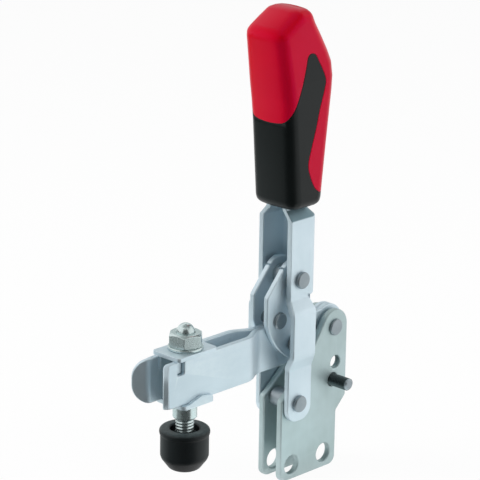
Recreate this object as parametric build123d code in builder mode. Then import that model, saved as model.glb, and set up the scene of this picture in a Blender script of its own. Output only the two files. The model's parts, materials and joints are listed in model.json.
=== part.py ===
"""Vertical toggle clamp with an open clamping arm, side-plate base and two-component grip.

Millimetres. The origin is midway between the two fixing holes, on the mid-plane between
the base plates. +Z is up, -X runs along the clamping arm and -Y is the clamp's left side.
All pieces are drawn in the closed (clamped) position.
"""

import os
from math import asin, atan2, cos, hypot, sin, tan

from build123d import *

os.makedirs("parts", exist_ok=True)

# Pivot axes, all along Y, as (X, Z)
HANDLE_PIVOT = (-7.5, 22.3)  # handle on base
ARM_PIVOT = (12.0, 43.5)  # clamping arm on base
LINK_TOP = (-7.4, 64.9)  # links on handle
LINK_LOW = (-7.0, 42.4)  # links on arm
LINK_STOP = (-13.9, 51.7)  # rivets that stop the links on the arm's top edge

# Fixing holes
HOLE_SPACING = 15.4
HOLE_R = 3.2

# Layers across the clamp, measured outwards from the mid-plane
ARM_T = 2.0  # each arm plate; the two touch at the rear
LINK_IN, LINK_OUT = 2.1, 4.1
BASE_IN, BASE_OUT = 2.7, 5.2
LEG_IN, LEG_OUT = 5.35, 7.35
BULGE = 3.0  # how far the handle's legs stand out beside the links
PRONG_IN = 3.25  # inner face of the spread front of the arm

# Rivets and running clearances
RIVET_R = 2.0
HEAD_R, HEAD_H = 2.8, 1.0
LEG_HEAD_H = 1.4  # heads on the handle's legs
RUN = 0.05  # radial clearance of a turning joint

# Base plates
BASE_FRONT, BASE_REAR_LOW, BASE_REAR = -13.1, 13.7, 18.2
BASE_BOTTOM = -5.2
BASE_STEP_LOW, BASE_STEP_HIGH = 13.6, 18.1
BASE_EYE_R = 6.0
SLANT_R = 5.8  # distance of the slanted edge from the arm's pivot
SLANT_FOOT = (-3.2, 31.3)
FRONT_SHOULDER_Z = 23.4
BUSH_R = 3.4
STOP_PIN = (11.6, 25.1)
STOP_PIN_R = 2.15
STOP_PIN_REACH = 12.7
SPARE_HOLE = (12.7, 31.0)

# Clamping arm
ARM_TOP, ARM_BOTTOM = 49.7, 34.75
ARM_EYE_R = 7.1
ARM_BUSH_R = 3.0
JOGGLE_REAR, JOGGLE_FRONT = -21.8, -27.6
TIP_R = 6.4
FLARE_X = -64.9
FLARE = 3.2
SPINDLE_X = -52.7
NOTCH_REAR, NOTCH_FRONT, NOTCH_DEPTH = -58.3, -61.2, 4.6
TAB_T = 1.4

# Spindle, washers, nut and cap
SPINDLE_R = 3.0
PLATE_T = 1.4
WASHER_R, WASHER_T = 5.7, 1.1
NUT_AF, NUT_H = 10.0, 4.4
COLLAR_R, COLLAR_H = 3.95, 5.45
CAP_TOP, CAP_BOTTOM = 24.4, 10.5
CAP_R, CAP_LIP_R, CAP_FOOT_R = 7.8, 8.15, 5.1
CAP_MOUTH_R = 4.7

# Handle
LEG_BOTTOM = 16.0
BULGE_LOW, BULGE_FULL_LOW = 34.5, 39.2
BULGE_FULL_HIGH, BULGE_HIGH = 54.8, 58.8
SHOULDER_LOW, SHOULDER_HIGH = 85.2, 88.6
TANG_OUT = 4.5
TANG_TOP = 135.0
SHEET = 2.0
WEB_OUT = 1.4
LEG_FRONT = -12.35
CHANNEL_R, TANG_R = 5.0, 3.2  # outer bend radii
TANG_FRONT, TANG_REAR = -12.2, -2.0

# Grip
GRIP_BOTTOM = 89.0
GRIP_HALF = 9.4
SOFT_T = 1.9

GAP = 0.03  # side play between pieces that move past each other


# ---------------------------------------------------------------- base
def slant_apex():
    """Sharp corner that the base plate's rounded top replaces."""
    dx, dz = ARM_PIVOT[0] - SLANT_FOOT[0], ARM_PIVOT[1] - SLANT_FOOT[1]
    angle = atan2(dz, dx) + asin(SLANT_R / hypot(dx, dz))
    return (BASE_REAR, SLANT_FOOT[1] + (BASE_REAR - SLANT_FOOT[0]) * tan(angle))


with BuildPart() as base_plate_left:
    with BuildSketch(Plane.XZ.offset(BASE_IN)) as base_outline:
        with BuildLine():
            Polyline(
                (BASE_FRONT, BASE_BOTTOM),
                (BASE_REAR_LOW, BASE_BOTTOM),
                (BASE_REAR_LOW, BASE_STEP_LOW),
                (BASE_REAR, BASE_STEP_HIGH),
                slant_apex(),
                SLANT_FOOT,
                (BASE_FRONT, FRONT_SHOULDER_Z),
                close=True,
            )
        make_face()
        corners = base_outline.vertices()
        fillet(corners.sort_by(Axis.Y)[:2], 3.0)
        fillet(base_outline.vertices().sort_by_distance((BASE_REAR_LOW, BASE_STEP_LOW))[0], 1.5)
        fillet(base_outline.vertices().sort_by_distance((BASE_REAR, BASE_STEP_HIGH))[0], 1.5)
        fillet(base_outline.vertices().sort_by_distance(slant_apex())[0], BASE_EYE_R)
        fillet(base_outline.vertices().sort_by_distance(SLANT_FOOT)[0], 14.0)
        fillet(base_outline.vertices().sort_by_distance((BASE_FRONT, FRONT_SHOULDER_Z))[0], 2.0)
        with Locations((-HOLE_SPACING / 2, 0), (HOLE_SPACING / 2, 0)):
            Circle(HOLE_R, mode=Mode.SUBTRACT)
        with Locations(STOP_PIN, SPARE_HOLE):
            Circle(STOP_PIN_R, mode=Mode.SUBTRACT)
        with Locations(ARM_PIVOT):
            Circle(RIVET_R, mode=Mode.SUBTRACT)
        with Locations(HANDLE_PIVOT):
            Circle(RIVET_R + RUN, mode=Mode.SUBTRACT)
    extrude(amount=BASE_OUT - BASE_IN)
base_plate_left.part.label = "base_plate_left"
export_step(base_plate_left.part, "parts/base_plate_left.step")

with BuildPart() as base_plate_right:
    add(mirror(base_plate_left.part, about=Plane.XZ))
base_plate_right.part.label = "base_plate_right"
export_step(base_plate_right.part, "parts/base_plate_right.step")

# Tube that keeps the base plates apart around the handle's rivet
with BuildPart() as base_bush:
    with BuildSketch(Plane.XZ):
        with Locations(HANDLE_PIVOT):
            Circle(BUSH_R)
            Circle(RIVET_R + RUN, mode=Mode.SUBTRACT)
    extrude(amount=BASE_IN, both=True)
    outer_rims = base_bush.edges().filter_by(GeomType.CIRCLE).sort_by(SortBy.RADIUS)[-2:]
    chamfer(outer_rims, 0.3)
base_bush.part.label = "base_bush"
export_step(base_bush.part, "parts/base_bush.step")

# Rivet that the arm turns on, headed on both base plates
with BuildPart() as arm_rivet:
    with BuildSketch(Plane.XZ):
        with Locations(ARM_PIVOT):
            Circle(RIVET_R)
    extrude(amount=BASE_OUT, both=True)
    for side in (1, -1):
        with BuildSketch(Plane.XZ.offset(side * BASE_OUT)):
            with Locations(ARM_PIVOT):
                Circle(HEAD_R)
        extrude(amount=side * HEAD_H)
    chamfer(arm_rivet.faces().sort_by(Axis.Y)[0].edges(), 0.35)
    chamfer(arm_rivet.faces().sort_by(Axis.Y)[-1].edges(), 0.35)
arm_rivet.part.label = "arm_rivet"
export_step(arm_rivet.part, "parts/arm_rivet.step")

# Washers between the arm and the base plates
with BuildPart() as arm_washer_left:
    with BuildSketch(Plane.XZ.offset(ARM_T + GAP)):
        with Locations(ARM_PIVOT):
            Circle(4.6)
            Circle(RIVET_R, mode=Mode.SUBTRACT)
    extrude(amount=BASE_IN - ARM_T - GAP)
arm_washer_left.part.label = "arm_washer_left"
export_step(arm_washer_left.part, "parts/arm_washer_left.step")

with BuildPart() as arm_washer_right:
    add(mirror(arm_washer_left.part, about=Plane.XZ))
arm_washer_right.part.label = "arm_washer_right"
export_step(arm_washer_right.part, "parts/arm_washer_right.step")

# Threaded pin that stops the opened handle on both sides
with BuildPart() as stop_pin:
    with BuildSketch(Plane.XZ):
        with Locations(STOP_PIN):
            Circle(STOP_PIN_R)
    extrude(amount=STOP_PIN_REACH, both=True)
    chamfer(stop_pin.faces().filter_by(Axis.Y).edges(), 0.7)
stop_pin.part.label = "stop_pin"
export_step(stop_pin.part, "parts/stop_pin.step")

# ---------------------------------------------------------------- clamping arm
with BuildPart() as arm_plate_left:
    # plan of the bent strip, seen from above
    with BuildSketch(Plane.XY.offset(ARM_BOTTOM - 3)) as strip:
        with BuildLine():
            Polyline(
                (ARM_PIVOT[0] + ARM_EYE_R + 1, 0),
                (ARM_PIVOT[0] + ARM_EYE_R + 1, -ARM_T),
                (JOGGLE_REAR, -ARM_T),
                (JOGGLE_FRONT, -PRONG_IN - ARM_T),
                (FLARE_X, -PRONG_IN - ARM_T),
                (FLARE_X - FLARE, -PRONG_IN - ARM_T - FLARE),
                (FLARE_X - FLARE - 1.414, -PRONG_IN - FLARE - 0.586),
                (FLARE_X - 0.828, -PRONG_IN),
                (JOGGLE_FRONT - 0.52, -PRONG_IN),
                (JOGGLE_REAR - 0.52, 0),
                close=True,
            )
        make_face()
        for corner, radius in (
            ((JOGGLE_REAR, -ARM_T), 6.0),
            ((JOGGLE_REAR - 0.52, 0), 8.0),
            ((JOGGLE_FRONT, -PRONG_IN - ARM_T), 8.0),
            ((JOGGLE_FRONT - 0.52, -PRONG_IN), 6.0),
            ((FLARE_X, -PRONG_IN - ARM_T), 1.5),
            ((FLARE_X - 0.828, -PRONG_IN), 3.5),
        ):
            fillet(strip.vertices().sort_by_distance(corner)[0], radius)
    extrude(amount=ARM_EYE_R * 2 + 12)
    # side outline of the arm
    with BuildSketch(Plane.XZ.offset(-1)) as arm_side:
        with BuildLine():
            Polyline(
                (ARM_PIVOT[0], ARM_BOTTOM),
                (ARM_PIVOT[0], ARM_TOP),
                (-72.0, ARM_TOP),
                (-72.0, ARM_BOTTOM),
                close=True,
            )
        make_face()
        with Locations(ARM_PIVOT):
            Circle(ARM_EYE_R)
        with Locations(((NOTCH_REAR + NOTCH_FRONT) / 2, ARM_TOP - NOTCH_DEPTH / 2)):
            Rectangle(NOTCH_REAR - NOTCH_FRONT, NOTCH_DEPTH, mode=Mode.SUBTRACT)
        with Locations(LINK_LOW, ARM_PIVOT):
            Circle(ARM_BUSH_R, mode=Mode.SUBTRACT)
    extrude(amount=14, mode=Mode.INTERSECT)
    # rounded tip of the flared end
    tip_edges = arm_plate_left.edges().filter_by(
        lambda e: e.center().X < FLARE_X - FLARE and abs(e.tangent_at(0.5).Z) < 0.1 and e.length < 2.2
    )
    fillet(tip_edges, TIP_R)
arm_plate_left.part.label = "arm_plate_left"
export_step(arm_plate_left.part, "parts/arm_plate_left.step")

with BuildPart() as arm_plate_right:
    add(mirror(arm_plate_left.part, about=Plane.XZ))
arm_plate_right.part.label = "arm_plate_right"
export_step(arm_plate_right.part, "parts/arm_plate_right.step")

# Bearing bush of the arm on its rivet
with BuildPart() as arm_bush:
    with BuildSketch(Plane.XZ):
        with Locations(ARM_PIVOT):
            Circle(ARM_BUSH_R)
            Circle(RIVET_R + RUN, mode=Mode.SUBTRACT)
    extrude(amount=ARM_T, both=True)
arm_bush.part.label = "arm_bush"
export_step(arm_bush.part, "parts/arm_bush.step")

# Pin pressed across the arm at the links' lower ends
with BuildPart() as arm_link_pin:
    with BuildSketch(Plane.XZ):
        with Locations(LINK_LOW):
            Circle(ARM_BUSH_R)
    extrude(amount=ARM_T, both=True)
arm_link_pin.part.label = "arm_link_pin"
export_step(arm_link_pin.part, "parts/arm_link_pin.step")

# Upper saddle plate, with two tabs bent down into the arm's notches
with BuildPart() as upper_saddle:
    with BuildSketch(Plane.XY.offset(ARM_TOP)):
        with Locations((-52.95, 0)):
            RectangleRounded(17.2, 12.2, 1.2)
        with Locations((SPINDLE_X, 0)):
            Circle(SPINDLE_R + RUN, mode=Mode.SUBTRACT)
    extrude(amount=PLATE_T)
    with BuildSketch(Plane.XY.offset(ARM_TOP)):
        with Locations((-59.75, PRONG_IN), (-59.75, -PRONG_IN)):
            Rectangle(2.6, TAB_T)
    extrude(amount=-4.4)
upper_saddle.part.label = "upper_saddle"
export_step(upper_saddle.part, "parts/upper_saddle.step")

# Lower saddle plate, whose lips hold the prongs from outside
with BuildPart() as lower_saddle:
    with BuildSketch(Plane.XY.offset(ARM_BOTTOM)):
        with Locations((SPINDLE_X, 0)):
            RectangleRounded(14.0, 2 * (PRONG_IN + ARM_T) + 2.4, 1.5)
            Circle(SPINDLE_R + RUN, mode=Mode.SUBTRACT)
    extrude(amount=-PLATE_T)
    # sloping lips, 1.1 thick, drawn from the side
    for side in (1, -1):
        with BuildSketch(Plane.XZ.offset(side * (PRONG_IN + ARM_T + 0.1))) as lip:
            with BuildLine():
                Polyline(
                    (SPINDLE_X - 4.9, ARM_BOTTOM - 0.1),
                    (SPINDLE_X + 5.9, ARM_BOTTOM - 0.1),
                    (SPINDLE_X + 5.9, ARM_BOTTOM + 0.9),
                    (SPINDLE_X + 1.3, ARM_BOTTOM + 1.8),
                    close=True,
                )
            make_face()
            fillet(lip.vertices().sort_by_distance((SPINDLE_X + 1.3, ARM_BOTTOM + 1.8))[0], 3.0)
        extrude(amount=side * 1.1)
lower_saddle.part.label = "lower_saddle"
export_step(lower_saddle.part, "parts/lower_saddle.step")

NUT_SEAT = ARM_TOP + PLATE_T + WASHER_T

with BuildPart() as spindle_washer:
    with BuildSketch(Plane.XY.offset(ARM_TOP + PLATE_T)):
        with Locations((SPINDLE_X, 0)):
            Circle(WASHER_R)
            Circle(SPINDLE_R + RUN, mode=Mode.SUBTRACT)
    extrude(amount=WASHER_T)
    chamfer(spindle_washer.edges().filter_by(GeomType.CIRCLE).sort_by(SortBy.RADIUS)[-2:], 0.25)
spindle_washer.part.label = "spindle_washer"
export_step(spindle_washer.part, "parts/spindle_washer.step")

with BuildPart() as spindle_nut:
    with BuildSketch(Plane.XY.offset(NUT_SEAT)):
        with Locations((SPINDLE_X, 0)):
            RegularPolygon(NUT_AF / 2, 6, major_radius=False, rotation=40)
            Circle(SPINDLE_R + RUN, mode=Mode.SUBTRACT)
    extrude(amount=NUT_H)
    # corners turned down by a 30 degree cone at both faces
    with BuildSketch(Plane.XZ) as nut_turning:
        with BuildLine():
            Polyline(
                (SPINDLE_X, NUT_SEAT),
                (SPINDLE_X + 5.1, NUT_SEAT),
                (SPINDLE_X + 5.9, NUT_SEAT + 0.46),
                (SPINDLE_X + 5.9, NUT_SEAT + NUT_H - 0.75),
                (SPINDLE_X + 4.6, NUT_SEAT + NUT_H),
                (SPINDLE_X, NUT_SEAT + NUT_H),
                close=True,
            )
        make_face()
    revolve(axis=Axis((SPINDLE_X, 0, 0), (0, 0, 1)), mode=Mode.INTERSECT)
spindle_nut.part.label = "spindle_nut"
export_step(spindle_nut.part, "parts/spindle_nut.step")

# Round lower nut that the lower saddle rests on
COLLAR_TOP = ARM_BOTTOM - PLATE_T
with BuildPart() as spindle_collar:
    with BuildSketch(Plane.XY.offset(COLLAR_TOP)):
        with Locations((SPINDLE_X, 0)):
            Circle(COLLAR_R)
            Circle(SPINDLE_R + RUN, mode=Mode.SUBTRACT)
    extrude(amount=-COLLAR_H)
    chamfer(spindle_collar.edges().filter_by(GeomType.CIRCLE).sort_by(SortBy.RADIUS)[-2:], 0.35)
spindle_collar.part.label = "spindle_collar"
export_step(spindle_collar.part, "parts/spindle_collar.step")

# Screw with a domed top end and a button head held inside the cap
DOME_TOP, DOME_H = 59.5, 2.9
DOME_R = (SPINDLE_R**2 + DOME_H**2) / (2 * DOME_H)
DOME_HALF = asin(SPINDLE_R / DOME_R) / 2
HEAD_SEAT = 14.6
with BuildPart() as spindle_screw:
    with BuildSketch(Plane.XZ):
        with BuildLine():
            Polyline(
                (SPINDLE_X, HEAD_SEAT),
                (SPINDLE_X + 4.6, HEAD_SEAT),
                (SPINDLE_X + 4.6, HEAD_SEAT + 3.0),
                (SPINDLE_X + SPINDLE_R, HEAD_SEAT + 3.0),
                (SPINDLE_X + SPINDLE_R, DOME_TOP - DOME_H),
            )
            ThreePointArc(
                (SPINDLE_X + SPINDLE_R, DOME_TOP - DOME_H),
                (SPINDLE_X + DOME_R * sin(DOME_HALF), DOME_TOP - DOME_R * (1 - cos(DOME_HALF))),
                (SPINDLE_X, DOME_TOP),
            )
            Line((SPINDLE_X, DOME_TOP), (SPINDLE_X, HEAD_SEAT))
        make_face()
    revolve(axis=Axis((SPINDLE_X, 0, 0), (0, 0, 1)))
spindle_screw.part.label = "spindle_screw"
export_step(spindle_screw.part, "parts/spindle_screw.step")

# Rubber cap moulded over the screw's head, open at its top around the shank
with BuildPart() as rubber_cap:
    with BuildSketch(Plane.XZ):
        with BuildLine():
            Polyline(
                (SPINDLE_X, CAP_BOTTOM),
                (SPINDLE_X + CAP_FOOT_R - 1.0, CAP_BOTTOM),
                (SPINDLE_X + CAP_FOOT_R, CAP_BOTTOM + 0.6),
                (SPINDLE_X + CAP_R - 0.4, 14.1),
                (SPINDLE_X + CAP_R, 15.1),
                (SPINDLE_X + CAP_R, CAP_TOP - 2.0),
                (SPINDLE_X + CAP_LIP_R, CAP_TOP - 1.6),
                (SPINDLE_X + CAP_LIP_R, CAP_TOP - 0.3),
                (SPINDLE_X + CAP_LIP_R - 0.3, CAP_TOP),
                (SPINDLE_X + CAP_MOUTH_R + 0.3, CAP_TOP),
                (SPINDLE_X + CAP_MOUTH_R, CAP_TOP - 0.3),
                (SPINDLE_X + CAP_MOUTH_R, CAP_TOP - 2.6),
                (SPINDLE_X + SPINDLE_R, CAP_TOP - 2.6),
                (SPINDLE_X + SPINDLE_R, HEAD_SEAT + 3.0),
                (SPINDLE_X + 4.6, HEAD_SEAT + 3.0),
                (SPINDLE_X + 4.6, HEAD_SEAT),
                (SPINDLE_X, HEAD_SEAT),
                close=True,
            )
        make_face()
    revolve(axis=Axis((SPINDLE_X, 0, 0), (0, 0, 1)))
rubber_cap.part.label = "rubber_cap"
export_step(rubber_cap.part, "parts/rubber_cap.step")

# ---------------------------------------------------------------- links
with BuildPart() as link_plate_left:
    with BuildSketch(Plane.XZ.offset(LINK_IN)) as leaf:
        with Locations(LINK_TOP):
            Circle(6.2)
        with Locations(LINK_LOW):
            Circle(5.0)
        with BuildLine():
            Polyline(
                (LINK_TOP[0] + 6.15, LINK_TOP[1] - 0.8),
                (LINK_TOP[0] - 4.7, LINK_TOP[1] + 4.05),
                (-19.5, 60.4),
                (-19.5, 51.6),
            )
            ThreePointArc((-19.5, 51.6), (-17.2, 46.0), (-10.6, 38.9))
            Polyline(
                (-10.6, 38.9),
                (LINK_LOW[0], LINK_LOW[1] - 5.0),
                (LINK_LOW[0] + 5.0, LINK_LOW[1]),
                (LINK_TOP[0] + 6.15, LINK_TOP[1] - 0.8),
            )
        make_face()
        fillet(leaf.vertices().sort_by_distance((-19.5, 60.4))[0], 1.6)
        with Locations(LINK_TOP):
            Circle(RIVET_R + RUN, mode=Mode.SUBTRACT)
        with Locations(LINK_LOW, LINK_STOP):
            Circle(RIVET_R, mode=Mode.SUBTRACT)
    extrude(amount=LINK_OUT - LINK_IN)
link_plate_left.part.label = "link_plate_left"
export_step(link_plate_left.part, "parts/link_plate_left.step")

with BuildPart() as link_plate_right:
    add(mirror(link_plate_left.part, about=Plane.XZ))
link_plate_right.part.label = "link_plate_right"
export_step(link_plate_right.part, "parts/link_plate_right.step")

# Headed rivet ends in the link plates
with BuildPart() as stop_rivet_left:
    with BuildSketch(Plane.XZ.offset(LINK_IN)):
        with Locations(LINK_STOP):
            Circle(RIVET_R)
    extrude(amount=LINK_OUT - LINK_IN)
    with BuildSketch(Plane.XZ.offset(LINK_OUT)):
        with Locations(LINK_STOP):
            Circle(HEAD_R)
    extrude(amount=HEAD_H)
    chamfer(stop_rivet_left.faces().sort_by(Axis.Y)[0].edges(), 0.35)
stop_rivet_left.part.label = "stop_rivet_left"
export_step(stop_rivet_left.part, "parts/stop_rivet_left.step")

with BuildPart() as stop_rivet_right:
    add(mirror(stop_rivet_left.part, about=Plane.XZ))
stop_rivet_right.part.label = "stop_rivet_right"
export_step(stop_rivet_right.part, "parts/stop_rivet_right.step")

with BuildPart() as link_rivet_left:
    with BuildSketch(Plane.XZ.offset(LINK_IN)):
        with Locations(LINK_LOW):
            Circle(RIVET_R)
    extrude(amount=LINK_OUT - LINK_IN)
    with BuildSketch(Plane.XZ.offset(LINK_OUT)):
        with Locations(LINK_LOW):
            Circle(HEAD_R)
    extrude(amount=HEAD_H)
    chamfer(link_rivet_left.faces().sort_by(Axis.Y)[0].edges(), 0.35)
link_rivet_left.part.label = "link_rivet_left"
export_step(link_rivet_left.part, "parts/link_rivet_left.step")

with BuildPart() as link_rivet_right:
    add(mirror(link_rivet_left.part, about=Plane.XZ))
link_rivet_right.part.label = "link_rivet_right"
export_step(link_rivet_right.part, "parts/link_rivet_right.step")

# ---------------------------------------------------------------- handle
TANG_IN = TANG_OUT - SHEET


def channel_section(half_width, front, rear, height, radius):
    """U-shaped sheet section, open to the front, at one height."""
    with BuildSketch(Plane.XY.offset(height)) as section:
        with Locations(((front + rear) / 2, 0)):
            Rectangle(rear - front, 2 * half_width)
        fillet(section.vertices().group_by(Axis.X)[-1], radius)
        with BuildSketch(Plane.XY.offset(height), mode=Mode.PRIVATE) as hollow:
            with Locations(((front + rear - SHEET) / 2, 0)):
                Rectangle(rear - front - SHEET, 2 * (half_width - SHEET))
            fillet(hollow.vertices().group_by(Axis.X)[-1], radius - SHEET)
        add(hollow.sketch_local, mode=Mode.SUBTRACT)
    return section.sketch


with BuildPart() as handle_lever:
    # flat legs with their bulges, drawn across and cut to their side outline
    with BuildSketch(Plane.YZ.offset(-16)) as legs:
        with BuildLine():
            Polyline(
                (-LEG_OUT, LEG_BOTTOM - 1),
                (-LEG_OUT, BULGE_LOW),
                (-LEG_OUT - BULGE, BULGE_FULL_LOW),
                (-LEG_OUT - BULGE, BULGE_FULL_HIGH),
                (-LEG_OUT, BULGE_HIGH),
                (-LEG_OUT, BULGE_HIGH + 0.5),
                (-LEG_IN, BULGE_HIGH + 0.5),
                (-LEG_IN, BULGE_HIGH - 1.1),
                (-LEG_IN - BULGE, BULGE_FULL_HIGH - 1.1),
                (-LEG_IN - BULGE, BULGE_FULL_LOW + 1.0),
                (-LEG_IN, BULGE_LOW + 1.0),
                (-LEG_IN, LEG_BOTTOM - 1),
                close=True,
            )
        make_face()
        for corner, radius in (
            ((-LEG_OUT, BULGE_LOW), 2.0),
            ((-LEG_OUT - BULGE, BULGE_FULL_LOW), 4.0),
            ((-LEG_OUT - BULGE, BULGE_FULL_HIGH), 4.0),
            ((-LEG_OUT, BULGE_HIGH), 1.2),
            ((-LEG_IN, BULGE_HIGH - 1.1), 2.5),
            ((-LEG_IN - BULGE, BULGE_FULL_HIGH - 1.1), 2.0),
            ((-LEG_IN - BULGE, BULGE_FULL_LOW + 1.0), 2.0),
            ((-LEG_IN, BULGE_LOW + 1.0), 3.5),
        ):
            fillet(legs.vertices().sort_by_distance(corner)[0], radius)
        mirror(about=Plane.YZ)
    extrude(amount=22)
    with BuildSketch(Plane.XZ) as leg_side:
        with BuildLine():
            Polyline(
                (-12.45, LEG_BOTTOM),
                (-12.45, BULGE_LOW),
                (-13.5, BULGE_FULL_LOW),
                (-13.5, BULGE_FULL_HIGH),
                (LEG_FRONT, BULGE_HIGH),
                (LEG_FRONT, BULGE_HIGH + 2),
                (WEB_OUT - CHANNEL_R, BULGE_HIGH + 2),
                (WEB_OUT - CHANNEL_R, BULGE_HIGH),
                (-3.0, BULGE_FULL_HIGH),
                (-3.0, BULGE_FULL_LOW),
                (-1.3, BULGE_LOW),
                (-1.3, LEG_BOTTOM),
                close=True,
            )
        make_face()
        fillet(leg_side.vertices().group_by(Axis.Y)[0], 4.6)
    extrude(amount=LEG_OUT + BULGE + 1, both=True, mode=Mode.INTERSECT)
    # channel above the links
    add(channel_section(LEG_OUT, LEG_FRONT, WEB_OUT, BULGE_HIGH, CHANNEL_R))
    extrude(amount=SHOULDER_LOW - BULGE_HIGH)
    # shoulders drawing in to the tang
    add(channel_section(LEG_OUT, LEG_FRONT, WEB_OUT, SHOULDER_LOW, CHANNEL_R))
    add(channel_section(TANG_OUT, TANG_FRONT, TANG_REAR, SHOULDER_HIGH, TANG_R))
    loft()
    add(channel_section(TANG_OUT, TANG_FRONT, TANG_REAR, SHOULDER_HIGH, TANG_R))
    extrude(amount=TANG_TOP - SHOULDER_HIGH)
    with BuildSketch(Plane.XZ):
        with Locations(HANDLE_PIVOT, LINK_TOP):
            Circle(RIVET_R)
    extrude(amount=12, both=True, mode=Mode.SUBTRACT)
handle_lever.part.label = "handle_lever"
export_step(handle_lever.part, "parts/handle_lever.step")


def through_rivet(centre):
    """Rivet with heads on the outer faces of both legs."""
    with BuildPart() as rivet:
        with BuildSketch(Plane.XZ):
            with Locations(centre):
                Circle(RIVET_R)
        extrude(amount=LEG_OUT, both=True)
        for side in (1, -1):
            with BuildSketch(Plane.XZ.offset(side * LEG_OUT)):
                with Locations(centre):
                    Circle(HEAD_R)
            extrude(amount=side * LEG_HEAD_H)
        chamfer(rivet.faces().sort_by(Axis.Y)[0].edges(), 0.35)
        chamfer(rivet.faces().sort_by(Axis.Y)[-1].edges(), 0.35)
    return rivet


with BuildPart() as handle_rivet:
    add(through_rivet(HANDLE_PIVOT).part)
handle_rivet.part.label = "handle_rivet"
export_step(handle_rivet.part, "parts/handle_rivet.step")

with BuildPart() as link_top_rivet:
    add(through_rivet(LINK_TOP).part)
link_top_rivet.part.label = "link_top_rivet"
export_step(link_top_rivet.part, "parts/link_top_rivet.step")

# Bush between the link plates, on their upper rivet
with BuildPart() as link_bush:
    with BuildSketch(Plane.XZ):
        with Locations(LINK_TOP):
            Circle(3.6)
            Circle(RIVET_R, mode=Mode.SUBTRACT)
    extrude(amount=LINK_IN - GAP, both=True)
link_bush.part.label = "link_bush"
export_step(link_bush.part, "parts/link_bush.step")

with BuildPart() as link_spacer_left:
    with BuildSketch(Plane.XZ.offset(LINK_OUT + GAP)):
        with Locations(LINK_TOP):
            Circle(4.0)
            Circle(RIVET_R, mode=Mode.SUBTRACT)
    extrude(amount=LEG_IN - LINK_OUT - GAP)
link_spacer_left.part.label = "link_spacer_left"
export_step(link_spacer_left.part, "parts/link_spacer_left.step")

with BuildPart() as link_spacer_right:
    add(mirror(link_spacer_left.part, about=Plane.XZ))
link_spacer_right.part.label = "link_spacer_right"
export_step(link_spacer_right.part, "parts/link_spacer_right.step")

# ---------------------------------------------------------------- grip
with BuildPart() as grip_form:
    with BuildSketch(Plane.XZ) as grip_side:
        with BuildLine():
            Polyline(
                (-14.6, GRIP_BOTTOM),
                (-15.6, 102.9),
                (-16.6, 117.3),
                (-18.6, 135.3),
                (-21.3, 147.8),
                (-9.6, 155.35),
                (-5.7, 155.2),
                (4.5, 137.6),
                (5.5, 131.3),
                (4.4, 121.0),
                (2.9, 108.0),
                (1.0, GRIP_BOTTOM),
                close=True,
            )
        make_face()
        for corner, radius in (
            ((-15.6, 102.9), 30),
            ((-16.6, 117.3), 30),
            ((-18.6, 135.3), 30),
            ((-21.3, 147.8), 4.0),
            ((-9.6, 155.35), 3.0),
            ((-5.7, 155.2), 2.5),
            ((4.5, 137.6), 6.0),
            ((5.5, 131.3), 6.0),
            ((4.4, 121.0), 40),
            ((2.9, 108.0), 40),
        ):
            fillet(grip_side.vertices().sort_by_distance(corner)[0], radius)
    extrude(amount=GRIP_HALF + 2, both=True)
    with BuildSketch(Plane.YZ.offset(-30)) as grip_front:
        with BuildLine():
            Polyline(
                (-GRIP_HALF, GRIP_BOTTOM - 1),
                (-GRIP_HALF, 131),
                (1.1 - GRIP_HALF, 156),
                (GRIP_HALF - 1.1, 156),
                (GRIP_HALF, 131),
                (GRIP_HALF, GRIP_BOTTOM - 1),
                close=True,
            )
        make_face()
        fillet(grip_front.vertices().group_by(Axis.Y)[1], 20)
    extrude(amount=60, mode=Mode.INTERSECT)
    upright = grip_form.edges().filter_by(lambda e: abs(e.tangent_at(0.5).Z) > 0.5)
    fillet(upright, 3.4)
    fillet(grip_form.faces().sort_by(Axis.Z)[0].edges(), 2.2)

with BuildPart() as grip_soft:
    add(grip_form.part)
    # side outline of the soft zone
    with BuildSketch(Plane.XZ) as zone:
        with BuildLine():
            Polyline((-22, 117.0), (-22, 80), (6, 80), (6, 93.6), (-1.25, 93.7))
            Spline(
                (-1.25, 93.7),
                (-3.75, 95.5),
                (-6.05, 99.3),
                (-7.35, 103.9),
                (-5.95, 109.4),
                (-4.15, 115.1),
                (-2.55, 121.4),
                (-0.45, 127.6),
                (-0.05, 131.3),
                (-3.15, 137.2),
                (-4.95, 139.7),
                (-7.55, 139.6),
                (-8.35, 135.8),
                (-9.45, 130.1),
                (-11.25, 125.4),
                (-13.75, 120.8),
                (-16.75, 117.5),
                (-18.75, 116.9),
            )
            Line((-18.75, 116.9), (-22, 117.0))
        make_face()
    extrude(amount=GRIP_HALF + 3, both=True, mode=Mode.INTERSECT)
    # hard core that the soft layer is moulded onto
    with BuildSketch(Plane.XZ) as core_side:
        with BuildLine():
            Polyline(
                (-14.6 + SOFT_T, GRIP_BOTTOM - 1),
                (-16.6 + SOFT_T, 117.3),
                (-17.0, 121.0),
                (-17.0, 150.0),
                (9.0, 150.0),
                (9.0, 92.2),
                (1.0 - SOFT_T, 92.2),
                (0.9 - SOFT_T, GRIP_BOTTOM - 1),
                close=True,
            )
        make_face()
    extrude(amount=GRIP_HALF - SOFT_T, both=True, mode=Mode.SUBTRACT)
grip_soft.part.label = "grip_soft"
export_step(grip_soft.part, "parts/grip_soft.step")

with BuildPart() as grip_body:
    add(grip_form.part)
    add(grip_soft.part, mode=Mode.SUBTRACT)
    add(handle_lever.part, mode=Mode.SUBTRACT)
grip_body.part.label = "grip_body"
export_step(grip_body.part, "parts/grip_body.step")
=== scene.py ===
"""Vertical toggle clamp: detailed pieces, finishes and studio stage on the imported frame.

Run as a script, it builds everything once. The panel in the 3D view's sidebar lists the
same steps one by one. Lengths are metres in the clamp's own frame: +Z is up, -X runs
along the clamping arm and -Y is the clamp's left side.
"""

import json
import math

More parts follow.
